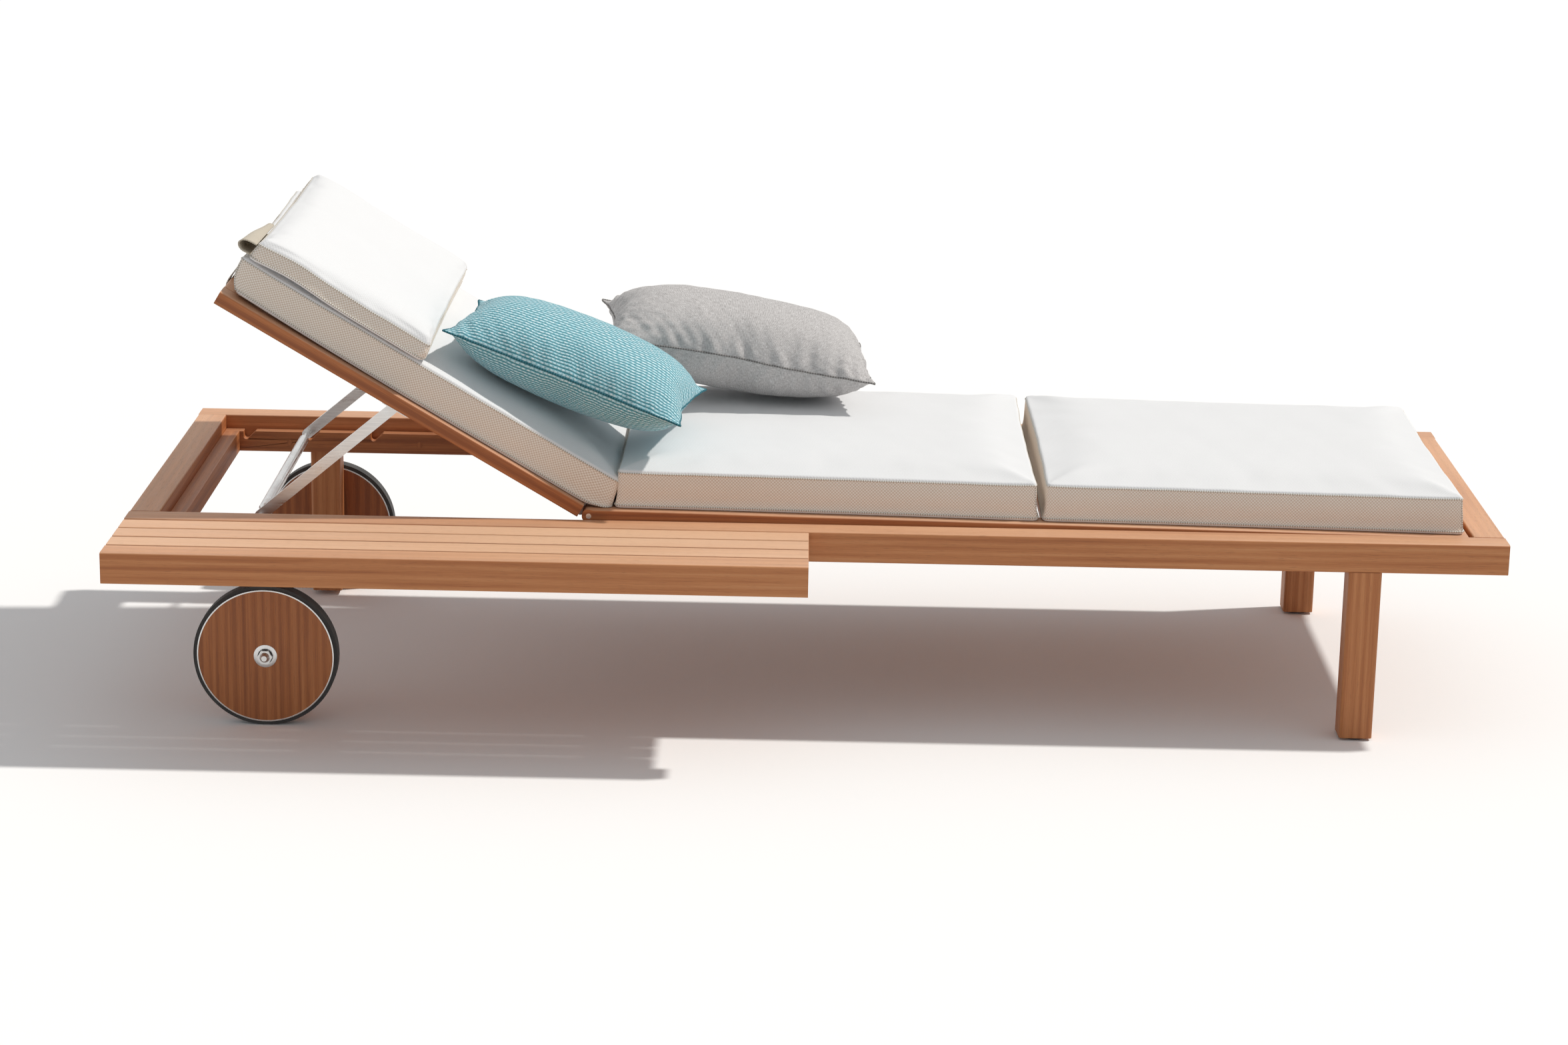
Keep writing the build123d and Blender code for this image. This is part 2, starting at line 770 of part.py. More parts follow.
def back_cushion():
    solid = pad(back_cushion_length, cushion_edge, cushion_crown, crown_run, cushion_top_ease, cushion_bottom_ease)
    return back_frame * Pos(back_middle, 0, pad_base) * solid


def headrest_cushion():
    solid = pad(headrest_length, headrest_edge, headrest_crown, headrest_run, headrest_ease, headrest_ease)
    return back_frame * Pos(headrest_middle, 0, pad_top + soft_clearance) * solid


def headrest_strap(y):
    """A flat strap from the end of the back cushion, round the last slat of the back."""
    half = strap_thickness / 2.0
    cushion_end = back_cushion_start + back_cushion_length + soft_clearance + half
    top = half_stile + soft_clearance + half
    end = back_panel_length + soft_clearance + half
    low = slat_under - soft_clearance - half
    route = [
        (cushion_end, strap_height),
        (cushion_end, top),
        (end, top),
        (end, low),
        (end - strap_return, low),
    ]
    section = trace(Polyline(route), strap_thickness)
    strap = extrude(Plane.XZ * section, amount=strap_width / 2.0, both=True)
    return back_frame * Pos(0, y, 0) * strap


save("seat_cushion", deck_cushion(seat_middle))
save("foot_cushion", deck_cushion(foot_middle))
save("back_cushion", back_cushion())
save("headrest_cushion", headrest_cushion())
save_group("cushion_straps", [headrest_strap(y) for y in (-strap_spread / 2.0, strap_spread / 2.0)])


def scatter_cushion(length, width, thickness):
    """A stuffed cushion with pinched edges, fullest in the middle."""
    lean_x, lean_y = 2.0 * scatter_draw / width, 2.0 * scatter_draw / length
    rings = []
    for i in range(-scatter_steps, scatter_steps + 1):
        turn = math.radians(90.0 * i / scatter_steps)
        share = scatter_flat + scatter_taper * math.cos(turn)
        level = thickness / 2.0 * math.sin(turn)
        rings.append(drawn_outline(length * share, width * share, lean_x, lean_y, scatter_corner, level))
    return stacked(rings)


def teal_cushion():
    solid = scatter_cushion(teal_length, teal_width, teal_thickness)
    level = pad_top + teal_thickness / 2.0 + teal_lift
    teal_reach = headrest_start - teal_headrest_gap - teal_length / 2.0
    return back_frame * Pos(teal_reach, teal_side, level) * Rot(0, teal_tilt, teal_turn) * solid


def grey_cushion():
    solid = scatter_cushion(grey_length, grey_width, grey_thickness)
    level = pad_top + grey_thickness / 2.0 + grey_lift
    return deck_frame * Pos(grey_reach, grey_side, level) * Rot(0, grey_tilt, grey_turn) * solid


save("teal_cushion", teal_cushion())
save("grey_cushion", grey_cushion())
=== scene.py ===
import math

import bpy
import numpy as np
from mathutils import Matrix, Vector


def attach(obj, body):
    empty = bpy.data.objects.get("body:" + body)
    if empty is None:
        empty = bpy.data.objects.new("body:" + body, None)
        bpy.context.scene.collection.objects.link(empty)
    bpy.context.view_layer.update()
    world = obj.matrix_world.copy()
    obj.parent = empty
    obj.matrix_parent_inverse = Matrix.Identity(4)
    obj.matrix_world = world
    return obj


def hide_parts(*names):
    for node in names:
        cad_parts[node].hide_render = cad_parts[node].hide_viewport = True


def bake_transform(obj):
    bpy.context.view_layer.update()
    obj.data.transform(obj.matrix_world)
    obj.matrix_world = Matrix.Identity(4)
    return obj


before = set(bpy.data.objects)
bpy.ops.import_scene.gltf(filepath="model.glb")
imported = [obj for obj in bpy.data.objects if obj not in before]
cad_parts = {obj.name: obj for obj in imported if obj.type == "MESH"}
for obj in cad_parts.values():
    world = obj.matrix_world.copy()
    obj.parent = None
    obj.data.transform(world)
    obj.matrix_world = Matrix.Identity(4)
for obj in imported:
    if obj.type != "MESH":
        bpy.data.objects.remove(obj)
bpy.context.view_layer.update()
scene = bpy.context.scene

# Lengths are in metres and repeat the part's own sizes
mm = 0.001
pivot = Vector((-331 * mm, 73.6 * mm, 304 * mm))
deck_fall = math.radians(0.716)
back_rise = math.radians(30.35)

# Both of these start at the hinge: x runs along the deck to the foot, or along the back to the head
deck_place = Matrix.Translation(pivot) @ Matrix.Rotation(deck_fall, 4, "Y")
back_place = Matrix.Translation(pivot) @ Matrix.Rotation(back_rise, 4, "Y") @ Matrix.Rotation(math.pi, 4, "Z")

# Frame
near_rail_face = -281.4 * mm
far_rail_face = 428.6 * mm
near_batten_face = -216.4 * mm
far_batten_face = 363.6 * mm
stile_inner = 266 * mm
hinge_plate = 3 * mm
slat_pitch = 80.9 * mm
first_slat = pivot.x + 10 * mm
wood_ease = 0.9 * mm
shelf_pitch = 47.5 * mm
shelf_start = -426 * mm
wheel_x = -795 * mm
wheel_z = 105 * mm

# Boxed cushions, seat and foot of one length
pad_base = 10.3 * mm
pad_width = 590 * mm
pad_edge = 58 * mm
pad_crown = 8 * mm
pad_top = pad_base + pad_edge + pad_crown
pad_ease = 4 * mm
pad_step = 11 * mm
deck_pad_length = 616 * mm
deck_pad_start = 40 * mm
deck_pad_gap = 4 * mm
back_pad_length = 609 * mm
back_pad_start = 9 * mm
back_pad_stretch = 15 * mm
headrest_length = 290 * mm
headrest_start = 320 * mm
headrest_edge = 30 * mm
band_bulge = 1.4 * mm
long_wave = 120 * mm
short_wave = 45 * mm
seam_radius = 1.3 * mm
corner_seam_radius = 1.1 * mm
tube_sides = 6

# Scatter cushions
pillow_step = 6.5 * mm
pillow_start = 14 * mm
pillow_wave = 70 * mm
pillow_seam_radius = 1.5 * mm
seam_passes = 60
sheet_passes = 50
gather_count = 8
pillow_rest = pad_top + 2 * mm

# Cloth simulation
swell_frames = 24
cloth_mass = 0.3

# Camera at the photograph's own place and tilt, with a longer lens that fills the frame with the lounger
camera_place = (-0.029, -5.381, 1.661)
camera_angles = (74.3277, -0.9313, 0.9209)
camera_sensor = 36
camera_lens = 84
camera_shift = (0.019, 0.035)

# Light: a soft sun from behind the right, and an even sky
sun_direction = (0.60, 0.14, 0.79)
sun_colour = (1.0, 0.97, 0.92)
sun_strength = 2.35
sun_width = math.radians(2.5)
sky_colour = (0.97, 0.985, 1.0)
sky_strength = 0.46
floor_reach = 40
floor_grey = (0.70, 0.70, 0.70)
white = (1.0, 1.0, 1.0)


def linked(name, data):
    """An object in the scene that holds the data."""
    item = bpy.data.objects.new(name, data)
    scene.collection.objects.link(item)
    return item


def add_mesh(name, points, faces, materials):
    data = bpy.data.meshes.new(name)
    data.from_pydata([tuple(p) for p in points], [], faces)
    for material in materials:
        data.materials.append(material)
    data.update()
    return linked(name, data)


def end_faces(rings, sides):
    """The faces that close a row of rings, whose points follow one another."""
    return [list(range(sides))[::-1], [(rings - 1) * sides + k for k in range(sides)]]


# Node trees

class Nodes:
    """A node tree, with short calls that add its nodes and join them."""

    def __init__(self, tree):
        self.tree = tree

    def feed(self, socket, value):
        """A link where the value is another node's output, and otherwise a number, a vector or a colour."""
        if isinstance(value, bpy.types.NodeSocket):
            self.tree.links.new(value, socket)
        else:
            socket.default_value = (*value, 1) if socket.type == "RGBA" else value

    def plug(self, node, values):
        """Feeds values to the node's inputs, which go by name or number."""
        for name, value in values.items():
            self.feed(node.inputs[name], value)

    def add(self, kind, **settings):
        node = self.tree.nodes.new("ShaderNode" + kind)
        for name, value in settings.items():
            setattr(node, name, value)
        return node

    def made(self, kind, values, out=0, **settings):
        """One output of a new node that the values go into."""
        node = self.add(kind, **settings)
        self.plug(node, values)
        return node.outputs[out]

    def math(self, operation, a, b=0.0):
        return self.made("Math", {0: a, 1: b}, operation=operation)

    def seen(self):
        """1 where a ray shows the thing itself, also mirrored or through glass, and 0 where it lights."""
        path = self.add("LightPath")
        shown = path.outputs["Is Camera Ray"]
        for ray in ("Is Glossy Ray", "Is Transmission Ray"):
            shown = self.math("MAXIMUM", shown, path.outputs[ray])
        return shown


class Paint(Nodes):
    """The nodes of a material."""

    def __init__(self, name, roughness=0.5, metallic=0.0, specular=0.5):
        self.material = bpy.data.materials.new(name)
        self.material.use_nodes = True
        super().__init__(self.material.node_tree)
        self.bsdf = self.tree.nodes["Principled BSDF"]
        self.plug(self.bsdf, {"Roughness": roughness, "Metallic": metallic, "Specular IOR Level": specular})

    def here(self):
        """Places on the node or piece, in metres."""
        return self.add("TexCoord").outputs["Object"]

    def flat(self):
        """Places on the flat sheet that the cloth was cut as, in metres."""
        return self.made("UVMap", {}, uv_map="weave")

    def split(self, vector):
        node = self.add("SeparateXYZ")
        self.feed(node.inputs[0], vector)
        return node.outputs

    def total(self, *terms):
        """The sum of values, each with its weight."""
        products = [self.math("MULTIPLY", value, weight) for value, weight in terms]
        total = products[0]
        for product in products[1:]:
            total = self.math("ADD", total, product)
        return total

    def beat(self, value, pitch):
        """A wave from -1 to 1 over the value."""
        return self.math("SINE", self.math("MULTIPLY", value, 2 * math.pi / pitch))

    def noise(self, vector, scale=1.0, detail=2.0, roughness=0.5):
        values = {"Vector": vector, "Scale": scale, "Detail": detail, "Roughness": roughness}
        return self.made("TexNoise", values, "Fac")

    def span(self, value, low, high, to_low=0.0, to_high=1.0):
        return self.made("MapRange", {0: value, 1: low, 2: high, 3: to_low, 4: to_high})

    def mix(self, share, a, b):
        return self.made("Mix", {0: share, 6: a, 7: b}, out=2, data_type="RGBA")

    def ramp(self, value, *stops):
        node = self.add("ValToRGB")
        stops = [(place, (*colour, 1)) for place, colour in stops]
        points = node.color_ramp.elements
        points[0].position, points[0].color = stops[0]
        points[1].position, points[1].color = stops[-1]
        for place, colour in stops[1:-1]:
            points.new(place).color = colour
        self.feed(node.inputs[0], value)
        return node.outputs[0]

    def mapped(self, vector, scale=(1, 1, 1), place=(0, 0, 0), turn=(0, 0, 0)):
        return self.made("Mapping", {"Vector": vector, "Scale": scale, "Location": place, "Rotation": turn})

    def bump(self, height, depth, strength):
        return self.made("Bump", {"Height": height, "Strength": strength, "Distance": depth})

    def sheen(self, weight, roughness):
        self.plug(self.bsdf, {"Sheen Weight": weight, "Sheen Roughness": roughness})

    def finish(self, colour, normal=None, roughness=None):
        values = {"Base Color": colour, "Normal": normal, "Roughness": roughness}
        self.plug(self.bsdf, {name: value for name, value in values.items() if value})
        return self.material


# Camera, light and floor

def make_camera():
    data = bpy.data.cameras.new("camera")
    data.sensor_width = camera_sensor
    data.lens = camera_lens
    data.shift_x, data.shift_y = camera_shift
    camera = linked("camera", data)
    camera.location = camera_place
    camera.rotation_euler = [math.radians(a) for a in camera_angles]
    scene.camera = camera


def make_light():
    """The sun, and the sky, which looks white behind the lounger."""
    data = bpy.data.lights.new("sun", "SUN")
    data.energy = sun_strength
    data.angle = sun_width
    data.color = sun_colour
    linked("sun", data).rotation_euler = Vector(sun_direction).to_track_quat("Z", "Y").to_euler()
    world = bpy.data.worlds.new("sky")
    scene.world = world
    world.use_nodes = True
    world.node_tree.nodes.clear()
    sky = Nodes(world.node_tree)
    lighting = sky.made("Background", {"Color": sky_colour, "Strength": sky_strength})
    shown = sky.made("Background", {"Color": white, "Strength": 1.0})
    mix = sky.made("MixShader", {0: sky.seen(), 1: lighting, 2: shown})
    sky.plug(sky.add("OutputWorld"), {0: mix})


def make_floor():
    """A wide white floor that keeps the lounger's shadow."""
    paint = Paint("floor_white", roughness=1.0, specular=0.0)
    finish = paint.finish(paint.mix(paint.seen(), floor_grey, white))
    corners = [(x * floor_reach, y * floor_reach, 0) for x, y in ((-1, -1), (1, -1), (1, 1), (-1, 1))]
    add_mesh("floor", corners, [(0, 1, 2, 3)], [finish])


# Wood, metal and rubber

# Teak from its dark streaks to its pale ones, then painted sunlight on its faces turned up, painted shade between
# boards, and its pores
teak_streaks = (
    (0.27, (0.275, 0.082, 0.023)),
    (0.42, (0.440, 0.150, 0.046)),
    (0.56, (0.560, 0.222, 0.080)),
    (0.78, (0.690, 0.335, 0.148)),
)
# The pale colour of the painted sunlight on faces turned up
teak_bleached = (0.84, 0.555, 0.365)
# The deep brown of the painted shade on the faces between boards
teak_gap_shade = (0.13, 0.045, 0.018)
teak_pore = (0.20, 0.075, 0.030)
board_jump = 0.37


def stretch(axis, across, lengthwise):
    """Scales for a pattern that is drawn out along one axis."""
    return [lengthwise if letter == axis else across for letter in "XYZ"]


def boards(paint, here, axis, first, pitch):
    """Places that jump from board to board, and a chance tone of each board from -0.5 to 0.5."""
    number = paint.math("DIVIDE", paint.math("SUBTRACT", paint.split(here)[axis], first), pitch)
    number = paint.math("FLOOR", number)
    chance = paint.made("TexWhiteNoise", {"W": number}, "Value", noise_dimensions="1D")
    jump = paint.math("MULTIPLY", number, board_jump)
    shift = paint.made("CombineXYZ", {"X": jump, "Y": jump, "Z": jump})
    jumped = paint.made("VectorMath", {0: here, 1: shift}, operation="ADD")
    return jumped, paint.span(chance, 0.0, 1.0, -0.5, 0.5)


def teak(name, grain, tone, turn=0.0, rows=None, gaps=0.0, bleach=0.45):
    """Oiled teak. grain is the axis that it runs along, tone makes it paler or darker, turn is the slope of
    its piece, rows are (axis, first, pitch) where one node holds many boards, gaps is how much painted shade
    darkens the faces between boards, and bleach is how much painted sunlight pales the faces turned up."""
    paint = Paint(name, roughness=0.55)
    seed = sum(ord(letter) * (i + 3) for i, letter in enumerate(name))
    here = paint.mapped(paint.here(), turn=(0, turn, 0))
    board = 0.0
    if rows:
        here, board = boards(paint, here, *rows)
    place = [(seed * k) % 17 * 0.61 for k in (1, 3, 7)]

    def fibre_noise(across, lengthwise, detail, roughness=0.5):
        scale = stretch(grain, across, lengthwise)
        return paint.noise(paint.mapped(here, scale=scale, place=place), detail=detail, roughness=roughness)

    heart = [0.09 + (seed % 5) * 0.012, 0.07 + (seed % 7) * 0.009, 0.11 + (seed % 3) * 0.02]
    heart["XYZ".index(grain)] = (seed % 11) * 0.3
    around = paint.mapped(here, scale=stretch(grain, 1.0, 0.1), place=heart)
    values = {"Vector": around, "Scale": 26.0, "Distortion": 5.0, "Detail": 2.0, "Detail Scale": 0.35}
    rings = paint.made("TexWave", values, "Fac", wave_type="RINGS", rings_direction=grain, wave_profile="SIN")
    streaks = fibre_noise(210, 3.5, detail=4.0, roughness=0.6)
    fibres = fibre_noise(1100, 26, detail=3.0, roughness=0.6)
    pores = fibre_noise(1500, 55, detail=1.0)
    pools = fibre_noise(16, 1.6, detail=2.0)
    value = paint.total(
        (rings, 0.10), (streaks, 0.42), (fibres, 0.22), (pools, 0.24), (tone, 1.0), (board, 0.14)
    )
    colour = paint.ramp(value, *teak_streaks)
    facing = paint.split(paint.add("TexCoord").outputs["Normal"])
    # Painted sunlight: the faces turned up are mixed toward a pale colour, where the sun falls on them
    painted_sunlight_amount = paint.span(pools, 0.2, 0.8, bleach - 0.15, bleach + 0.15)
    bleached = paint.math("MULTIPLY", paint.span(facing[2], 0.45, 0.85), painted_sunlight_amount)
    colour = paint.mix(bleached, colour, teak_bleached)
    # Painted shade between boards: faces turned sideways are darkened toward a deep brown, where shade falls in the
    # gaps
    if gaps:
        gap_shade_share = paint.span(paint.math("ABSOLUTE", facing[1]), 0.75, 0.95, 0.0, gaps)
        colour = paint.mix(gap_shade_share, colour, teak_gap_shade)
    colour = paint.mix(paint.span(pores, 0.62, 0.72, 0.0, 0.35), colour, teak_pore)
    normal = paint.bump(paint.total((fibres, 1.0), (pores, -0.6)), 0.3 * mm, 0.5)
    return paint.finish(colour, normal, paint.span(fibres, 0.3, 0.7, 0.46, 0.64))


def steel(name, lengthwise):
    """Brushed stainless steel with its fine lines along one axis."""
    paint = Paint(name, roughness=0.3, metallic=1.0)
    here = paint.here()
    lines = paint.noise(paint.mapped(here, scale=stretch(lengthwise, 900.0, 25.0)))
    smudges = paint.noise(here, scale=30.0)
    colour = paint.mix(paint.span(lines, 0.3, 0.7), (0.56, 0.56, 0.555), (0.72, 0.715, 0.70))
    roughness = paint.math("ADD", paint.span(lines, 0.3, 0.7, 0.20, 0.30), paint.span(smudges, 0.3, 0.7, 0.0, 0.14))
    return paint.finish(colour, paint.bump(lines, 0.05 * mm, 0.4), roughness)


def rubber(name, colour, roughness):
    """Dark rubber or hard plastic with a fine grain and a little dust."""
    paint = Paint(name, roughness=roughness, specular=0.4)
    here = paint.here()
    grain = paint.noise(here, scale=900.0)
    dust = paint.span(paint.noise(here, scale=40.0, detail=3.0), 0.45, 0.75, 0.0, 0.5)
    dusty = tuple(min(1.0, c * 1.9 + 0.02) for c in colour)
    return paint.finish(paint.mix(dust, colour, dusty), paint.bump(grain, 0.2 * mm, 0.4))


# Cloth

def woven(paint, flat, pitch, slanted=False):
    """Knots of a basket weave, from 0 in the gaps to 1 on the threads."""
    u, v, _ = paint.split(flat)
    if slanted:
        u, v = paint.math("ADD", u, v), paint.math("SUBTRACT", u, v)
    return paint.span(paint.math("MULTIPLY", paint.beat(u, pitch), paint.beat(v, pitch)), -1.0, 1.0)


def slubs(paint, flat, across, lengthwise):
    """Uneven threads that run both ways of the cloth."""
    warp = paint.noise(paint.mapped(flat, scale=(across, lengthwise, 1)))
    weft = paint.noise(paint.mapped(flat, scale=(lengthwise, across, 1)))
    return paint.math("MULTIPLY", paint.math("ADD", warp, weft), 0.5)


def outdoor_cloth(name, light, shade, pitch, contrast):
    """The cushions' woven cloth: pale knots over slightly darker gaps, with a slubby thread."""
    paint = Paint(name, roughness=0.92, specular=0.2)
    flat = paint.flat()
    knots = woven(paint, flat, pitch)
    slub = slubs(paint, flat, 1400, 260)
    broad = paint.noise(flat, scale=9.0, detail=3.0)
    level = paint.total(
        (paint.span(knots, 0.32, 0.72), contrast),
        (paint.span(slub, 0.35, 0.65, 1 - contrast - 0.14, 1 - contrast), 1.0),
        (paint.span(broad, 0.35, 0.7, 0.0, 0.05), -1.0),
    )
    paint.sheen(0.08, 0.5)
    height = paint.total((knots, 0.75), (slub, 0.5))
    return paint.finish(paint.mix(level, shade, light), paint.bump(height, 0.6 * mm, 0.5))


def stitched_cloth(name, cloth, thread, pitch):
    """A cord of cloth along a seam, with its short stitches."""
    paint = Paint(name, roughness=0.9, specular=0.2)
    flat = paint.flat()
    stitches = paint.span(paint.beat(paint.split(flat)[0], pitch), -0.15, 0.35)
    fuzz = paint.noise(paint.mapped(flat, scale=(900, 900, 1)))
    colour = paint.mix(stitches, cloth, thread)
    colour = paint.mix(paint.span(fuzz, 0.4, 0.7, 0.0, 0.25), colour, tuple(0.8 * c for c in cloth))
    return paint.finish(colour, paint.bump(paint.math("ADD", stitches, fuzz), 0.3 * mm, 0.5))


def ribbed_cloth(name, deep, middle, fleck, pitch):
    """A chunky cloth of raised rows, with light flecks where the thread comes up."""
    paint = Paint(name, roughness=0.9, specular=0.25)
    flat = paint.flat()
    u, v, _ = paint.split(flat)
    bead_pitch = 1.1 * pitch
    across = paint.total((v, 1.0), (paint.noise(flat, scale=22.0), 1.5 * mm))
    rows = paint.beat(across, pitch)
    number = paint.math("FLOOR", paint.math("DIVIDE", across, pitch))
    beads = paint.beat(paint.total((u, 1.0), (number, 0.5 * bead_pitch)), bead_pitch)
    knots = paint.math("MULTIPLY", paint.span(rows, -0.9, 0.6), paint.span(beads, -0.95, 0.3, 0.45, 1.0))
    chance = paint.noise(paint.mapped(flat, scale=(260, 420, 1)), roughness=0.7)
    fuzz = paint.noise(paint.mapped(flat, scale=(1500, 1500, 1)))
    colour = paint.mix(knots, deep, middle)
    colour = paint.mix(paint.math("MULTIPLY", knots, paint.span(chance, 0.44, 0.62)), colour, fleck)
    colour = paint.mix(paint.span(fuzz, 0.35, 0.65, 0.0, 0.2), colour, deep)
    paint.sheen(0.15, 0.4)
    return paint.finish(colour, paint.bump(paint.total((knots, 1.0), (fuzz, 0.3)), 1.1 * mm, 0.7))


def plain_cloth(name, deep, middle, light, pitch):
    """A fine plain weave with a melange of lighter and darker threads."""
    paint = Paint(name, roughness=0.9, specular=0.2)
    flat = paint.flat()
    knots = woven(paint, flat, pitch, slanted=True)
    melange = slubs(paint, flat, 1200, 120)
    value = paint.total((melange, 0.75), (knots, 0.25))
    colour = paint.ramp(value, (0.36, deep), (0.50, middle), (0.66, light))
    paint.sheen(0.12, 0.4)
    return paint.finish(colour, paint.bump(paint.math("ADD", knots, melange), 0.5 * mm, 0.45))


top_cloth = outdoor_cloth("cloth_top", (0.868, 0.873, 0.885), (0.722, 0.718, 0.715), 4.8 * mm, 0.22)
band_cloth = outdoor_cloth("cloth_band", (0.99, 0.94, 0.87), (0.63, 0.50, 0.39), 4.8 * mm, 0.70)
seam_cloth = stitched_cloth("cloth_seam", (0.50, 0.45, 0.38), (0.86, 0.84, 0.80), 3.4 * mm)
flap_cloth = outdoor_cloth("cloth_flap", (0.66, 0.60, 0.50), (0.42, 0.36, 0.28), 3.2 * mm, 0.5)
strap_cloth = outdoor_cloth("cloth_strap", (0.62, 0.59, 0.54), (0.36, 0.33, 0.29), 2.4 * mm, 0.5)
teal_cloth = ribbed_cloth("teal_weave", (0.045, 0.235, 0.290), (0.48, 0.84, 0.94), (0.90, 0.98, 1.0), 6.6 * mm)
teal_seam = stitched_cloth("teal_seam", (0.02, 0.105, 0.135), (0.05, 0.20, 0.25), 4.0 * mm)
grey_cloth = plain_cloth("grey_weave", (0.30, 0.284, 0.278), (0.53, 0.51, 0.505), (0.80, 0.785, 0.78), 2.6 * mm)
grey_seam = stitched_cloth("grey_seam", (0.17, 0.16, 0.155), (0.31, 0.30, 0.29), 4.0 * mm)
steel_down = steel("steel_brushed_x", "X")
steel_across = steel("steel_brushed_y", "Y")
tyre_rubber = rubber("tyre_rubber", (0.042, 0.041, 0.040), 0.75)
bush_plastic = rubber("bush_plastic", (0.045, 0.045, 0.048), 0.5)

# How much paler than the rest each node of wood is, by the axis that its grain runs along
back_slat_tones = (-0.04, 0.02, -0.01, 0.04, -0.05, 0.03, 0.0, -0.03)
tones = {
    "X": {
        # The near and far battens' darker tones are painted shade, for the shade of the rails over them
        "near_rail": 0.03, "far_rail": 0.0, "near_batten": -0.10, "far_batten": -0.12,
        "shelf_slats": 0.06, "shelf_edge_rail": 0.02, "near_deck_stile": -0.10, "far_deck_stile": 0.02,
        "near_back_stile": -0.13, "far_back_stile": -0.02,
    },
    "Y": {
        "head_member": -0.04, "foot_member": 0.02, "end_battens": -0.10, "hinge_beam": -0.02,
        "shelf_bearers": -0.03, "seat_slats": 0.0, "foot_slats": 0.02,
        **{f"back_slat_{i}": tone for i, tone in enumerate(back_slat_tones, 1)},
    },
    "Z": {
        "near_head_leg": 0.02, "far_head_leg": -0.02, "near_foot_leg": 0.0, "far_foot_leg": 0.02,
        "near_wheel_disc": -0.10, "far_wheel_disc": -0.14,
    },
}
wood = {name: (grain, tone) for grain, nodes in tones.items() for name, tone in nodes.items()}

# Nodes that hold several boards: the axis across them, where the first begins, and their pitch
board_rows = {
    "shelf_slats": (1, shelf_start, shelf_pitch),
    "seat_slats": (0, first_slat, slat_pitch),
    "foot_slats": (0, first_slat, slat_pitch),
}

# Metal, plastic and rubber nodes
other_finishes = {
    **dict.fromkeys(("hinge_plates", "bail_brackets", "near_bail_arm", "far_bail_arm"), steel_down),
    **dict.fromkeys(("hinge_bolts", "bail_pivots", "bail_crossbar", "axles", "cap_nuts"), steel_across),
    **dict.fromkeys(("foot_glides", "near_wheel_bush", "far_wheel_bush"), bush_plastic),
    **dict.fromkeys(("near_tyre", "far_tyre"), tyre_rubber),
}


def paint_frame():
    """Gives each node of the model its material. Cloth nodes are left, since soft pieces take their place."""
    for name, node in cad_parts.items():
        if name in wood:
            turn = -back_rise if "back_stile" in name else 0.0
            settings = {"turn": turn, "rows": board_rows.get(name)}
            # The shelf slats get dark painted shade on the faces between them and more painted sunlight on their
            # tops
            if name == "shelf_slats":
                settings.update(gaps=0.95, bleach=0.70)
            # The battens get less painted sunlight on their tops, which paints the shade of the rails over them
            elif "batten" in name:
                settings.update(bleach=0.15)
            finish = teak("teak_" + name, *wood[name], **settings)
            ease_edges(node, wood_ease)
        elif name in other_finishes:
            finish = other_finishes[name]
        else:
            continue
        node.data.materials.clear()
        node.data.materials.append(finish)


def ease_edges(node, width):
    """Rounds a node's sharp edges, as sanding does."""
    weld = node.modifiers.new("weld", "WELD")
    weld.merge_threshold = 0.02 * mm
    bevel = node.modifiers.new("ease", "BEVEL")
    bevel.width = width
    bevel.segments = 2
    bevel.limit_method = "ANGLE"
    bevel.angle_limit = math.radians(25)


# Tools for soft pieces

def add_sheet(name, points, faces, lengths, slots, materials):
    """A smooth mesh object, with the cloth's own lengths at the corners of its faces as its map."""
    piece = add_mesh(name, points, faces, materials)
    layer = piece.data.uv_layers.new(name="weave")
    layer.data.foreach_set("uv", np.asarray(lengths, np.float32).ravel())
    piece.data.polygons.foreach_set("material_index", slots)
    piece.data.polygons.foreach_set("use_smooth", [True] * len(faces))
    piece.data.update()
    return piece


def rows_of(mesh, what):
    """The places or normals of a mesh's points, one row for each."""
    values = np.zeros(len(mesh.vertices) * 3, np.float32)
    mesh.vertices.foreach_get(what, values)
    return values.reshape(-1, 3).astype(float)


def set_places(piece, points):
    piece.data.vertices.foreach_set("co", np.asarray(points, np.float32).ravel())
    piece.data.update()


def placed(points, place):
    """The points moved by a matrix."""
    move = np.array(place)
    return points @ move[:3, :3].T + move[:3, 3]


def unit(rows):
    """The rows, each scaled to a length of 1."""
    return rows / np.linalg.norm(rows, axis=1, keepdims=True)


def rise(value, start, run):
    """0 up to start, 1 from start + run on, and straight between them."""
    return np.clip((value - start) / run, 0, 1)


def kept_above(height, floor, softness):
    """Heights bent so that none is below the floor."""
    return floor + softness * np.logaddexp(0, (height - floor) / softness)


def waves(points, reach, seed):
    """Smooth chance values from about -1 to 1 over the points, with features about as long as reach."""
    chance = np.random.default_rng(seed)
    total, count = np.zeros(len(points)), 7
    for _ in range(count):
        direction = chance.normal(size=points.shape[1])
        direction /= np.linalg.norm(direction)
        rate = 2 * math.pi / (reach * chance.uniform(0.7, 1.6))
        total += np.sin(points @ direction * rate + chance.uniform(0, 6.28))
    return total / math.sqrt(count) / 1.2


def outline_of(rows, columns):
    """Indices of the sheet's outermost points, in order round it."""
    index = np.arange(rows * columns).reshape(rows, columns)
    return np.concatenate([index[:-1, 0], index[-1, :-1], index[:0:-1, -1], index[0, :0:-1]])


def sheet_faces(rows, columns, flat, under):
    """Faces and lengths of two sheets back to back. under are the lower sheet's own points."""
    faces, lengths = [], []
    for i in range(rows - 1):
        for j in range(columns - 1):
            first, beyond = i * columns + j, (i + 1) * columns + j
            quad = [first, beyond, beyond + 1, first + 1]
            faces += [quad, [int(under[k]) for k in quad[::-1]]]
            lengths += [flat[k] for k in quad + quad[::-1]]
    return faces, lengths


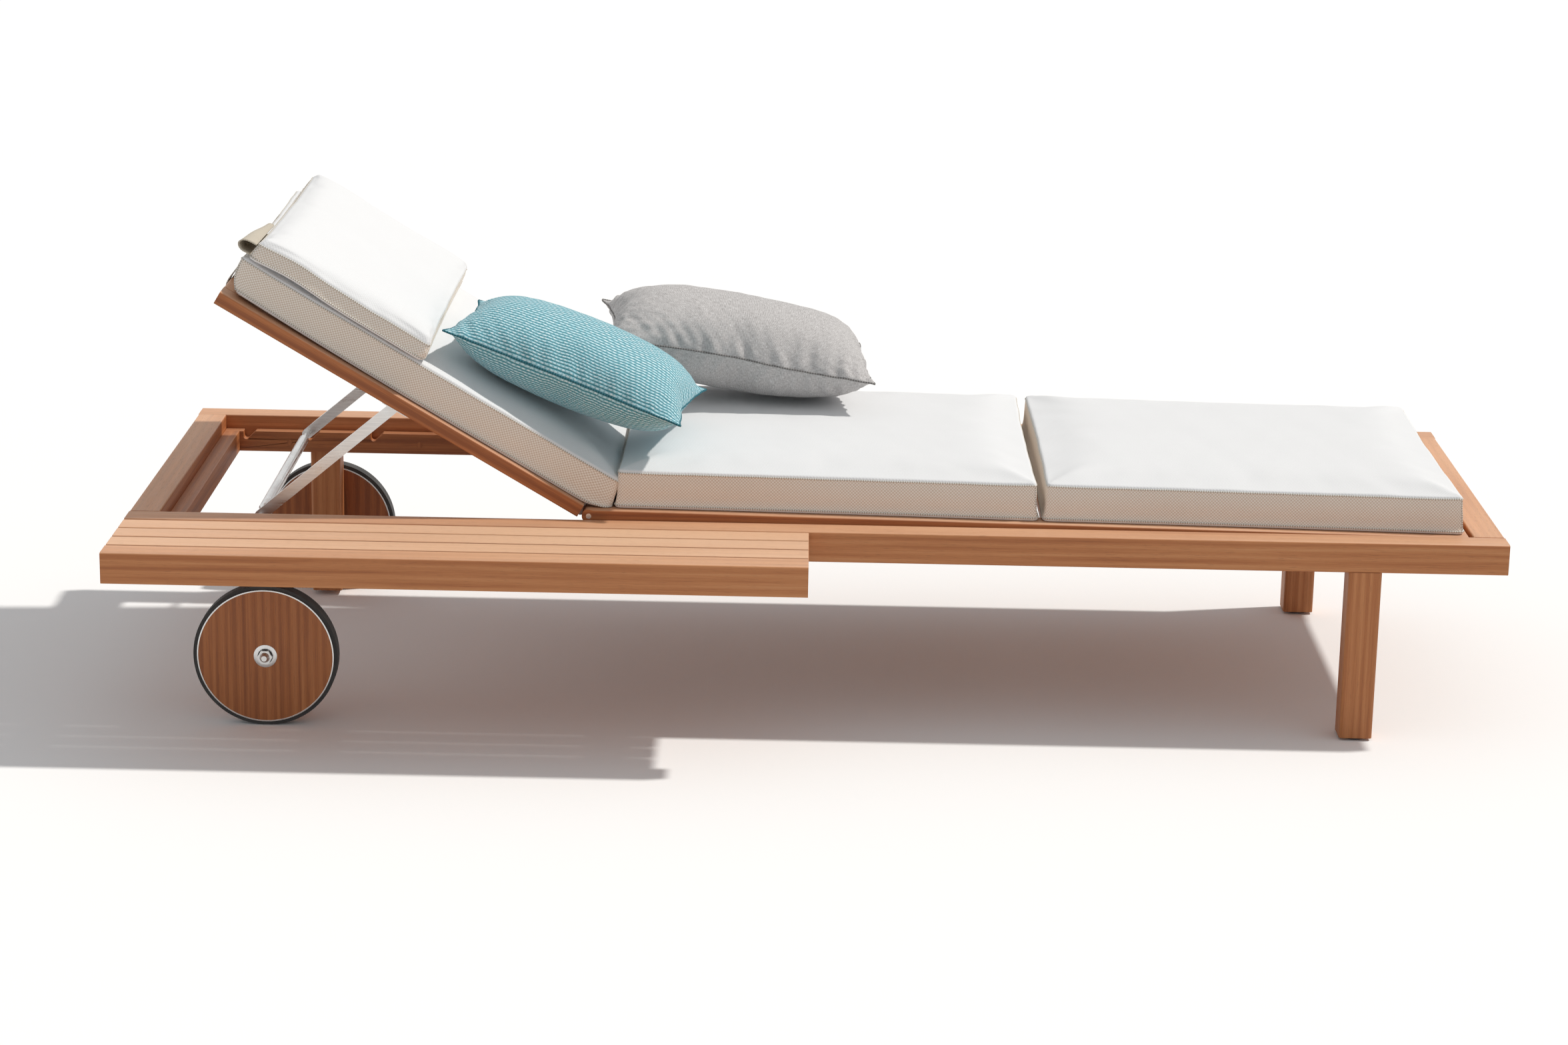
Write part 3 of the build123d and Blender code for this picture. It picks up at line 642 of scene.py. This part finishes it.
def add_cloth(piece, pressure, stiffness, slack, bending=0.5, held=None):
    """Cloth that the pressure inside swells. held are the points that stay."""
    cloth = piece.modifiers.new("cloth", "CLOTH")
    settings = cloth.settings
    settings.quality = 5
    settings.mass = cloth_mass
    settings.tension_stiffness = stiffness
    settings.compression_stiffness = stiffness
    settings.shear_stiffness = stiffness / 3
    settings.bending_stiffness = bending
    settings.shrink_min = -slack
    settings.use_pressure = True
    settings.uniform_pressure_force = pressure
    settings.effector_weights.gravity = 0.0
    cloth.collision_settings.use_collision = False
    if held is not None:
        group = piece.vertex_groups.new(name="held")
        group.add(list(held), 1.0, "REPLACE")
        settings.vertex_group_mass = "held"
        settings.pin_stiffness = 1.0


def swell(limits):
    """Runs the cloth of every piece at once. limits gives how far a point of each may move, or None."""
    scene.frame_start, scene.frame_end = 1, swell_frames
    for number in range(1, swell_frames + 1):
        scene.frame_set(number)
    graph = bpy.context.evaluated_depsgraph_get()
    for piece, limit in limits.items():
        start = rows_of(piece.data, "co")
        step = rows_of(piece.evaluated_get(graph).data, "co") - start
        if limit:
            size = np.linalg.norm(step, axis=1, keepdims=True) + 1e-9
            step = step / size * limit * np.tanh(size / limit)
        piece.modifiers.remove(piece.modifiers["cloth"])
        set_places(piece, start + step)
    scene.frame_set(1)


def refine(piece):
    """One subdivision, applied, so that the cloth's folds read as smooth."""
    modifier = piece.modifiers.new("smooth", "SUBSURF")
    modifier.levels = modifier.render_levels = 1
    graph = bpy.context.evaluated_depsgraph_get()
    data = bpy.data.meshes.new_from_object(piece.evaluated_get(graph))
    piece.modifiers.clear()
    piece.data = data


def tube(name, path, radius, material, closed=True):
    """A thin cord along a row of points."""
    count, sides = len(path), tube_sides
    ahead = np.roll(path, -1, axis=0) - np.roll(path, 1, axis=0)
    if not closed:
        ahead[0], ahead[-1] = path[1] - path[0], path[-1] - path[-2]
    ahead = unit(ahead)
    up = np.tile([0.0, 0.0, 1.0], (count, 1))
    steep = abs(ahead[:, 2]) > 0.9
    up[steep] = [1.0, 0.0, 0.0]
    side = unit(np.cross(ahead, up))
    up = np.cross(side, ahead)
    turn = np.linspace(0, 2 * math.pi, sides, endpoint=False)
    wide, tall = radius * np.array([np.cos(turn), np.sin(turn)])[:, :, None]
    points = (path[:, None] + side[:, None] * wide + up[:, None] * tall).reshape(-1, 3)
    far = np.linalg.norm(np.roll(path, -1, axis=0) - path, axis=1)
    along = np.concatenate([[0.0], np.cumsum(far)])
    faces, lengths = [], []
    for i in range(count if closed else count - 1):
        j = (i + 1) % count
        for k in range(sides):
            m = (k + 1) % sides
            faces.append([i * sides + k, j * sides + k, j * sides + m, i * sides + m])
            low, high = k * radius, (k + 1) * radius
            lengths += [(along[i], low), (along[i + 1], low), (along[i + 1], high), (along[i], high)]
    if not closed:
        faces += end_faces(count, sides)
        lengths += [(0.0, 0.0)] * sides * 2
    return add_sheet(name, points, faces, lengths, [0] * len(faces), [material])


# Boxed cushions

def stations(size, corner):
    """Places across a sheet: close together at its rim, then about a step apart."""
    rim = np.array([0.0, 0.07, 0.17, 0.31, 0.5, 0.74, 1.0]) * corner
    inner = np.linspace(corner, size - corner, max(3, round((size - 2 * corner) / pad_step)))
    return np.concatenate([rim[:-1], inner, (size - rim[:-1])[::-1]]) - size / 2


def rounded_sheet(length, width, corner):
    """Points of a sheet with round corners, how far each is from the outline, its rows and columns."""
    xs, ys = stations(length, corner), stations(width, corner)
    x, y = [a.ravel() for a in np.meshgrid(xs, ys, indexing="ij")]
    inset = np.minimum(length / 2 - abs(x), width / 2 - abs(y))
    over_x, over_y = abs(x) - (length / 2 - corner), abs(y) - (width / 2 - corner)
    in_corner = (over_x > 0) & (over_y > 0)
    share = np.ones(len(x))
    share[in_corner] = np.maximum(over_x, over_y)[in_corner] / np.hypot(over_x, over_y)[in_corner]
    x = np.where(in_corner, np.sign(x) * (length / 2 - corner + over_x * share), x)
    y = np.where(in_corner, np.sign(y) * (width / 2 - corner + over_y * share), y)
    return x, y, np.maximum(inset, 0.0), len(xs), len(ys)


def boxed_cushion(name, length, width, edge, crown, corner, run, draw, rows=7):
    """A crowned top sheet, a band round the sides and a flat base at zero. corner rounds the outline, the
    crown rises over run, draw is how far the sides' middles are drawn in, rows are the band's own."""
    x, y, inset, nx, ny = rounded_sheet(length, width, corner)
    flat = np.stack([x, y], axis=1)
    x *= 1 - draw / (length / 2) * (1 - (2 * flat[:, 1] / width) ** 2)
    y *= 1 - draw / (width / 2) * (1 - (2 * flat[:, 0] / length) ** 2)
    rounding = pad_ease * (1 - np.sqrt(1 - np.clip(1 - inset / pad_ease, 0, 1) ** 2))
    top = edge - rounding + crown * (1 - (1 - rise(inset, pad_ease, run)) ** 2)
    ring = outline_of(nx, ny)
    ring_x, ring_y = x[ring], y[ring]
    next_x, next_y = np.roll(ring_x, -1), np.roll(ring_y, -1)
    around = np.concatenate([[0.0], np.cumsum(np.hypot(next_x - ring_x, next_y - ring_y))])
    out = unit(np.stack([next_y - np.roll(ring_y, 1), np.roll(ring_x, 1) - next_x], axis=1))
    points = [np.stack([x, y, top], axis=1), np.stack([x, y, rounding], axis=1)]
    levels = np.linspace(edge - pad_ease, pad_ease, rows + 2)
    for level in levels[1:-1]:
        share = (level - pad_ease) / (edge - 2 * pad_ease)
        bulge = out * band_bulge * math.sin(math.pi * share)
        points.append(np.stack([ring_x + bulge[:, 0], ring_y + bulge[:, 1], np.full(len(ring), level)], axis=1))
    count, sheet = len(ring), nx * ny
    faces, lengths = sheet_faces(nx, ny, flat, np.arange(sheet) + sheet)
    slots = [0] * len(faces)
    belts = [ring] + [np.arange(count) + 2 * sheet + k * count for k in range(rows)] + [ring + sheet]
    for k, (upper, lower) in enumerate(zip(belts[:-1], belts[1:])):
        for i in range(count):
            j = (i + 1) % count
            faces.append([int(n) for n in (upper[j], upper[i], lower[i], lower[j])])
            left, right = around[i], around[i + 1]
            lengths += [(right, levels[k]), (left, levels[k]), (left, levels[k + 1]), (right, levels[k + 1])]
            slots.append(1)
    piece = add_sheet(name, np.concatenate(points), faces, lengths, slots, [top_cloth, band_cloth])
    piece["sheet"] = sheet
    piece["rows"] = rows
    piece["ring"] = ring.tolist()
    return piece


def base_of(pad):
    """The points of the cushion's base sheet, which come after those of its top sheet."""
    return range(pad["sheet"], 2 * pad["sheet"])


def depth_in_pad(points):
    """0 at the top of the cushion and 1 at its base."""
    return np.clip((pad_top - points[:, 2]) / (pad_top - pad_base), 0, 1)


def longer_end(points):
    """The head end of the seat cushion reaches a little further, to close the fold."""
    extra = 4 * mm
    points[:, 0] -= rise(-points[:, 0], start=-150 * mm, run=110 * mm) ** 2 * extra
    return points


def filled_fold(points):
    """The lower end of the back cushion: its foam fills the fold over the hinge, down to the deck."""
    fill_top, fill_more_at_base = 13 * mm, 12 * mm
    share = rise(-points[:, 0], start=-70 * mm, run=76 * mm) ** 2
    points[:, 0] -= share * (fill_top + depth_in_pad(points) * fill_more_at_base)
    angle = back_rise - deck_fall
    along = -points[:, 0] * math.cos(angle) + points[:, 2] * math.sin(angle)
    above = points[:, 0] * math.sin(angle) + points[:, 2] * math.cos(angle)
    above = np.where(along > 0, kept_above(above, floor=11.5 * mm, softness=3 * mm), above)
    points[:, 0] = -along * math.cos(angle) + above * math.sin(angle)
    points[:, 2] = along * math.sin(angle) + above * math.cos(angle)
    return points


def worn_end(points):
    """The head end of the back cushion: its lower corner is cut back, and its low edges lift off the slats."""
    depth = depth_in_pad(points)
    longer, cut, lift = 6 * mm, 25 * mm, 9 * mm
    points[:, 0] += rise(points[:, 0], start=555 * mm, run=63 * mm) ** 2 * (longer - depth**4 * cut)
    side = rise(abs(points[:, 1]), start=250 * mm, run=45 * mm) ** 2
    points[:, 2] += side * depth * rise(points[:, 0], start=250 * mm, run=368 * mm) ** 2 * lift
    return points


def drooped(points):
    """The headrest follows the crown that it lies on, but for a small gap near its top corner."""
    droop, gap_middle, gap_width = 7.5 * mm, 545 * mm, 55 * mm
    side = rise(abs(points[:, 1]), start=240 * mm, run=55 * mm) ** 2
    gap = 0.75 * np.exp(-(((points[:, 0] - gap_middle) / gap_width) ** 2))
    end = rise(points[:, 0], start=570 * mm, run=40 * mm) ** 2
    points[:, 2] -= np.maximum(side * (1 - gap), end) * droop
    return points


pad_changes = {
    "seat_cushion": [longer_end],
    "back_cushion": [filled_fold, worn_end],
    "headrest_cushion": [drooped],
}


def finish_pad(pad, name, place, middle, base, seed):
    """Small waves, its own changes, one subdivision, its place on the lounger, and the seam cords."""
    ring, sheet = np.array(pad["ring"]), pad["sheet"]
    points = rows_of(pad.data, "co")
    free = np.ones(len(points))
    free[base_of(pad)] = 0.0
    spread = waves(points, long_wave, seed) * 0.5 * mm + waves(points, short_wave, seed + 1) * 0.22 * mm
    points += rows_of(pad.data, "normal") * (spread * free)[:, None]
    points = placed(points, Matrix.Translation((middle, 0, base)))
    for change in pad_changes.get(name, []):
        points = change(points)
    set_places(pad, points)
    refine(pad)
    points = rows_of(pad.data, "co")
    set_places(pad, placed(points, place))
    cords = []
    for word, offset in (("top", 0), ("low", sheet)):
        cords.append(tube(f"{name}_{word}_seam", placed(points[ring + offset], place), seam_radius, seam_cloth))
    for word, side in (("near", 1), ("far", -1)):
        corner = int(np.argmax(points[ring, 0] + points[ring, 1] * side))
        column = [ring[corner]] + [2 * sheet + k * len(ring) + corner for k in range(pad["rows"])]
        path = placed(points[column + [ring[corner] + sheet]], place)
        cords.append(tube(f"{name}_{word}_corner_seam", path, corner_seam_radius, seam_cloth, closed=False))
    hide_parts(name)
    return cords


# Scatter cushions

def scatter_cushion(name, length, width, material):
    """Two sheets sewn together along their edges, and the places of their points on the flat cloth."""
    xs = np.linspace(-length / 2, length / 2, round(length / pillow_step) + 1)
    ys = np.linspace(-width / 2, width / 2, round(width / pillow_step) + 1)
    x, y = [a.ravel() for a in np.meshgrid(xs, ys, indexing="ij")]
    nx, ny = len(xs), len(ys)
    lens = pillow_start * (1 - (2 * x / length) ** 2) * (1 - (2 * y / width) ** 2)
    ring = outline_of(nx, ny)
    edge = np.zeros(nx * ny, bool)
    edge[ring] = True
    under = np.full(nx * ny, -1)
    under[edge] = np.nonzero(edge)[0]
    under[~edge] = nx * ny + np.arange((~edge).sum())
    flat = np.stack([x, y], axis=1)
    points = np.concatenate([np.stack([x, y, lens], axis=1), np.stack([x, y, -lens], axis=1)[~edge]])
    faces, lengths = sheet_faces(nx, ny, flat, under)
    piece = add_sheet(name, points, faces, lengths, [0] * len(faces), [material])
    piece["ring"] = ring.tolist()
    piece["grid"] = [nx, ny]
    piece["under"] = under.tolist()
    return piece, np.concatenate([flat, flat[~edge]])


def calmed(points, pillow):
    """The swollen pillow with its chance creases smoothed out, its four corners kept."""
    nx, ny = pillow["grid"]
    ring = np.array(pillow["ring"])
    free = np.ones((len(ring), 1))
    free[[0, nx - 1, nx + ny - 2, 2 * nx + ny - 3]] = 0
    for _ in range(seam_passes):
        seam = points[ring]
        points[ring] += free * (np.roll(seam, 1, axis=0) + np.roll(seam, -1, axis=0) - 2 * seam) / 4
    for sheet in (np.arange(nx * ny), np.array(pillow["under"])):
        calm = points[sheet].reshape(nx, ny, 3)
        for _ in range(sheet_passes):
            around = calm[:-2, 1:-1] + calm[2:, 1:-1] + calm[1:-1, :-2] + calm[1:-1, 2:]
            calm[1:-1, 1:-1] += 0.5 * (around / 4 - calm[1:-1, 1:-1])
        points[sheet] = calm.reshape(-1, 3)
    return points


def squared(points, flat, size):
    """The swollen pillow with its drawn-in sides let out again, scaled to its size."""
    drawn_in, window = 11 * mm, 11
    lines = [np.array(sorted(set(np.round(flat[:, k], 6)))) for k in (0, 1)]
    for across, along in ((1, 0), (0, 1)):
        rim = abs(abs(flat[:, across]) - flat[:, across].max()) < 1e-6
        on_line = [rim & (abs(flat[:, along] - place) < 1e-6) for place in lines[along]]
        reach = np.array([abs(points[here, across]).mean() for here in on_line])
        reach = np.convolve(np.pad(reach, window // 2, "edge"), np.ones(window) / window, "valid")
        share = lines[along] / lines[along].max()
        wanted = size[across] / 2 - drawn_in * (1 - share**2)
        points[:, across] *= np.interp(flat[:, along], lines[along], wanted / reach)
    half = np.ptp(points[:, 2]) / 2
    points[:, 2] = np.sign(points[:, 2]) * (abs(points[:, 2]) / half) ** 0.8 * size[2] / 2
    return points


def gathers(along, distance, seed):
    """Ridges that run in from a seam and fade out, closer and shorter or wider and longer."""
    chance = np.random.default_rng(seed)
    total = np.zeros(len(along))
    for _ in range(gather_count):
        rate = 2 * math.pi / (chance.uniform(15, 38) * mm)
        reach = chance.uniform(16, 62) * mm
        drift = chance.uniform(-0.5, 0.5)
        ridge = np.sin(rate * (along + drift * distance) + chance.uniform(0, 6.28))
        total += ridge * np.exp(-distance / reach)
    return total / 2.2 * (1 - np.exp(-distance / (5 * mm)))


def gathered(points, flat, outward, seed, depth):
    """The pillow with gathers along its four sides and slight waves all over."""
    upper = np.sign(points[:, 2])
    folds = np.zeros(len(points))
    for across, along, key in ((0, 1, 10), (1, 0, 20)):
        distance = flat[:, across].max() - abs(flat[:, across])
        for end in (-1, 1):
            for face in (-1, 1):
                here = (np.sign(flat[:, across]) == end) & (upper == face)
                folds[here] += gathers(flat[here, along], distance[here], seed + key + 3 * end + face)
    points += outward * (folds * depth)[:, None]
    return points + outward * (waves(points, pillow_wave, seed + 5) * 0.8 * mm)[:, None]


def finish_pillow(pillow, flat, node, body, carrier, size, spot, lift, tilt, turn, folds, seed, seam, fabric):
    """Scales the swollen pillow to its size, gathers it along its seam, and rests it on its carrier. spot and
    lift are its place there, tilt and turn its angles in degrees, and folds the depth of its gathers."""
    points = rows_of(pillow.data, "co")
    points -= (points.min(0) + points.max(0)) / 2
    points = squared(calmed(points, pillow), flat, size)
    set_places(pillow, points)
    points = gathered(points, flat, rows_of(pillow.data, "normal"), seed, folds)
    slope = Matrix.Rotation(math.radians(tilt), 4, "Y") @ Matrix.Rotation(math.radians(turn), 4, "Z")
    local = placed(points, Matrix.Translation((*spot, pad_top + size[2] / 2 + lift)) @ slope)
    local[:, 2] = kept_above(local[:, 2], pillow_rest, softness=9 * mm)
    set_places(pillow, placed(local, carrier))
    refine(pillow)
    path = rows_of(pillow.data, "co")[np.array(pillow["ring"])]
    cord = tube(node + "_seam", path, pillow_seam_radius, seam)
    for piece in (pillow, cord):
        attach(piece, body)
    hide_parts(node)


def make_cushions():
    """All soft pieces: built flat, swollen together, then finished one by one."""
    seat_middle = deck_pad_start + deck_pad_length / 2
    foot_middle = seat_middle + deck_pad_length + deck_pad_gap
    back_middle = back_pad_start + back_pad_length / 2 - back_pad_stretch / 2
    headrest_middle = headrest_start + headrest_length / 2

    # Length, place, middle along it, and the seed of the waves
    pads = {
        "seat_cushion": (deck_pad_length, deck_place, seat_middle, 11),
        "foot_cushion": (deck_pad_length, deck_place, foot_middle, 23),
        "back_cushion": (back_pad_length + back_pad_stretch, back_place, back_middle, 37),
    }
    pieces, limits = {}, {}
    for name, (length, _, _, _) in pads.items():
        pieces[name] = pad = boxed_cushion(
            name + "_soft", length, pad_width, pad_edge, crown=5 * mm, corner=11 * mm, run=110 * mm, draw=3 * mm
        )
        add_cloth(pad, pressure=3.0, stiffness=12, slack=0.012, held=base_of(pad))
        limits[pad] = 5.5 * mm
    headrest = boxed_cushion(
        "headrest_cushion_soft", headrest_length, pad_width + 5 * mm, headrest_edge,
        crown=3 * mm, corner=12 * mm, run=80 * mm, draw=2 * mm, rows=3,
    )
    add_cloth(headrest, pressure=3.0, stiffness=12, slack=0.015, held=base_of(headrest))
    limits[headrest] = 5 * mm
    teal = scatter_cushion("teal_cushion_soft", 380 * mm, 300 * mm, teal_cloth)
    grey = scatter_cushion("grey_cushion_soft", 440 * mm, 310 * mm, grey_cloth)
    for pillow, _ in (teal, grey):
        add_cloth(pillow, pressure=9.0, stiffness=10, slack=0.02, bending=0.3)
        limits[pillow] = None
    swell(limits)

    for name, (_, place, middle, seed) in pads.items():
        cords = finish_pad(pieces[name], name, place, middle, pad_base, seed)
        for piece in [pieces[name], *cords]:
            if name == "back_cushion":
                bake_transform(piece)
            else:
                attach(piece, "frame")
    cords = finish_pad(headrest, "headrest_cushion", back_place, headrest_middle, pad_top + 0.3 * mm, 51)
    for piece in [headrest, *cords]:
        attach(piece, "back")
    finish_pillow(
        *teal, "teal_cushion", "back", back_place, size=(372 * mm, 288 * mm, 124 * mm),
        spot=(121 * mm, 141 * mm), lift=15 * mm, tilt=10.5, turn=-6,
        folds=1.9 * mm, seed=71, seam=teal_seam, fabric="teal_fabric",
    )
    finish_pillow(
        *grey, "grey_cushion", "frame", deck_place, size=(420 * mm, 285 * mm, 142 * mm),
        spot=(201 * mm, 185 * mm), lift=14.6 * mm, tilt=9, turn=4,
        folds=3.6 * mm, seed=83, seam=grey_seam, fabric="grey_fabric",
    )


# Small turned parts

def turned(profile, place, sides):
    """Points and faces of a round part from its profile of (radius, height) in mm, turned about its own Z."""
    points, faces = [], []
    for radius, height in profile:
        for k in range(sides):
            turn = 2 * math.pi * k / sides
            points.append(place @ (Vector((radius * math.cos(turn), radius * math.sin(turn), height)) * mm))
    for i in range(len(profile) - 1):
        for k in range(sides):
            m = (k + 1) % sides
            faces.append([i * sides + k, i * sides + m, (i + 1) * sides + m, (i + 1) * sides + k])
    if profile[0] != profile[-1]:
        faces += end_faces(len(profile), sides)
    return points, faces


def small_parts(name, shapes, material, body):
    """Several small round parts of one finish in one piece, riding on one body."""
    points, faces = [], []
    for some_points, some_faces in shapes:
        faces += [[k + len(points) for k in face] for face in some_faces]
        points += some_points
    piece = add_mesh(name, points, faces, [material])
    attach(piece, body)
    return piece


def facing_y(x, y, z, side):
    """A place whose own Z points along -Y or +Y."""
    return Matrix.Translation((x, y, z)) @ Matrix.Rotation(-side * math.pi / 2, 4, "X")


def add_plugs():
    """Wooden plugs over the screws of the side battens."""
    profile = [(4.6, -0.5), (4.6, 0.25), (4.1, 0.55), (2.0, 0.65)]
    height, shapes = 260 * mm, []
    for x in (-850, -640, -430, -130, 170, 470, 770, 900):
        for y, side in ((near_batten_face, 1), (far_batten_face, -1)):
            shapes.append(turned(profile, facing_y(x * mm, y, height, side), 28))
    small_parts("batten_plugs", shapes, teak("teak_plugs", "Z", -0.14), "frame")


def add_screws():
    """Domed screw heads on the hinge plates, in a row along each stile."""
    profile = [(3.6, -0.4), (3.6, 0.5), (2.9, 1.1), (1.6, 1.4), (1.3, 0.7)]
    below, shapes = -8.8 * mm, []
    for side in (-1, 1):
        for u in (24, 40, 57):
            place = back_place @ facing_y(u * mm, side * (stile_inner - hinge_plate), below, -side)
            shapes.append(turned(profile, place, 18))
    small_parts("plate_screws", shapes, steel_across, "back")


def add_wheel_trim():
    """A thin metal band round each wooden disc, and a plate round its bush, on both faces."""
    band = [(97.6, -0.3), (97.7, 0.35), (98.7, 0.5), (99.5, 0.2), (99.5, -2.0), (98.6, -2.0), (97.6, -0.3)]
    plate = [(11.05, -0.2), (11.05, 0.75), (16.4, 0.75), (17.0, 0.35), (17.0, -0.2), (11.05, -0.2)]
    disc_inner, disc_outer = 2.9 * mm, 28.9 * mm
    for side, word, rail in ((-1, "near", near_rail_face), (1, "far", far_rail_face)):
        places = [
            facing_y(wheel_x, rail + side * disc_inner, wheel_z, -side),
            facing_y(wheel_x, rail + side * disc_outer, wheel_z, side),
        ]
        for kind, profile, sides in (("band", band, 96), ("plate", plate, 48)):
            shapes = [turned(profile, place, sides) for place in places]
            body = word + "_wheel"
            piece = small_parts(f"{body}_{kind}", shapes, steel_across, body)
            piece.data.polygons.foreach_set("use_smooth", [True] * len(piece.data.polygons))
            crease = piece.modifiers.new("edges", "EDGE_SPLIT")
            crease.split_angle = math.radians(35)


# Straps

def smooth_route(route):
    """Points along a smooth curve through the route, six to each of its stretches."""
    route = np.array(route) * mm
    points = []
    for i in range(len(route) - 1):
        before, a, b, after = route[max(i - 1, 0)], route[i], route[i + 1], route[min(i + 2, len(route) - 1)]
        square, cube = 2 * before - 5 * a + 4 * b - after, 3 * a - before - 3 * b + after
        for t in np.linspace(0, 1, 6, endpoint=False):
            points.append(0.5 * (2 * a + (b - before) * t + square * t**2 + cube * t**3))
    return np.array([*points, route[-1]])


def ribbon(name, route, middle, width, thickness, material, steps, ripple=0.0, taper=0.0):
    """A flat strip of cloth along a route of (along, height) on the back, across from middle. ripple waves
    it, and taper draws its one side back toward the route's start."""
    curve = smooth_route(route)
    length = np.concatenate([[0.0], np.cumsum(np.linalg.norm(np.diff(curve, axis=0), axis=1))])
    heading = unit(np.gradient(curve, axis=0))
    side = np.stack([-heading[:, 1], heading[:, 0]], axis=1)
    across = np.linspace(-width / 2, width / 2, steps + 1)
    points = []
    for offset in (-thickness / 2, thickness / 2):
        for j, y in enumerate(across):
            share = j / steps
            wave = ripple * math.sin(7 * share + 1.0) * np.sin(np.pi * length / length[-1])
            shape = curve + side * (offset + wave)[:, None]
            shape[:, 0] = curve[0, 0] + (shape[:, 0] - curve[0, 0]) * (1 - taper * (1 - share))
            points.append(np.stack([shape[:, 0], np.full(len(shape), middle + y), shape[:, 1]], axis=1))
    rows, columns = steps + 1, len(curve)
    low, high = np.arange(2 * rows * columns).reshape(2, rows, columns)
    faces, lengths = [], []

    def add(quad, corners):
        faces.append([int(k) for k in quad])
        lengths.extend((length[i], across[j]) for j, i in corners)

    for j in range(rows - 1):
        for i in range(columns - 1):
            around = [(j, i), (j, i + 1), (j + 1, i + 1), (j + 1, i)]
            add([low[spot] for spot in around], around)
            back_around = [around[0], *around[:0:-1]]
            add([high[spot] for spot in back_around], back_around)
    border = [(0, i) for i in range(columns)] + [(j, columns - 1) for j in range(1, rows)]
    border += [(rows - 1, i) for i in range(columns - 2, -1, -1)] + [(j, 0) for j in range(rows - 2, 0, -1)]
    for here, ahead in zip(border, border[1:] + border[:1]):
        add([low[here], high[here], high[ahead], low[ahead]], [here, here, ahead, ahead])
    points = placed(np.concatenate(points), back_place)
    piece = add_sheet(name, points, faces, lengths, [0] * len(faces), [material])
    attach(piece, "back")
    return piece


def add_straps():
    """Two webbing straps round the last slat, and the loose loop of cloth at the head end of the headrest."""
    route = [(617.6, 46), (619.4, 34), (621.0, 20), (622.2, 10), (622.3, 2), (620.6, -4.0), (612, -4.4)]
    route += [(595, -4.2), (577, -4.0)]
    near, far = [
        ribbon("strap_" + word, route, y, 38 * mm, 1.6 * mm, strap_cloth, steps=6)
        for word, y in (("near", 180 * mm), ("far", -180 * mm))
    ]
    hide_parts("cushion_straps")
    loop = [(605, 75), (614, 75), (624, 74.5), (631, 77.5), (634, 83), (631, 89), (624, 92), (615, 92.5)]
    loop += [(609, 92)]
    flap = ribbon(
        "headrest_loop", loop, 205 * mm, 165 * mm, 1.8 * mm, flap_cloth, steps=24, ripple=1.0 * mm, taper=0.55
    )


make_camera()
make_light()
make_floor()
paint_frame()
make_cushions()
add_plugs()
add_screws()
add_wheel_trim()
add_straps()

scene.view_settings.view_transform = "Standard"
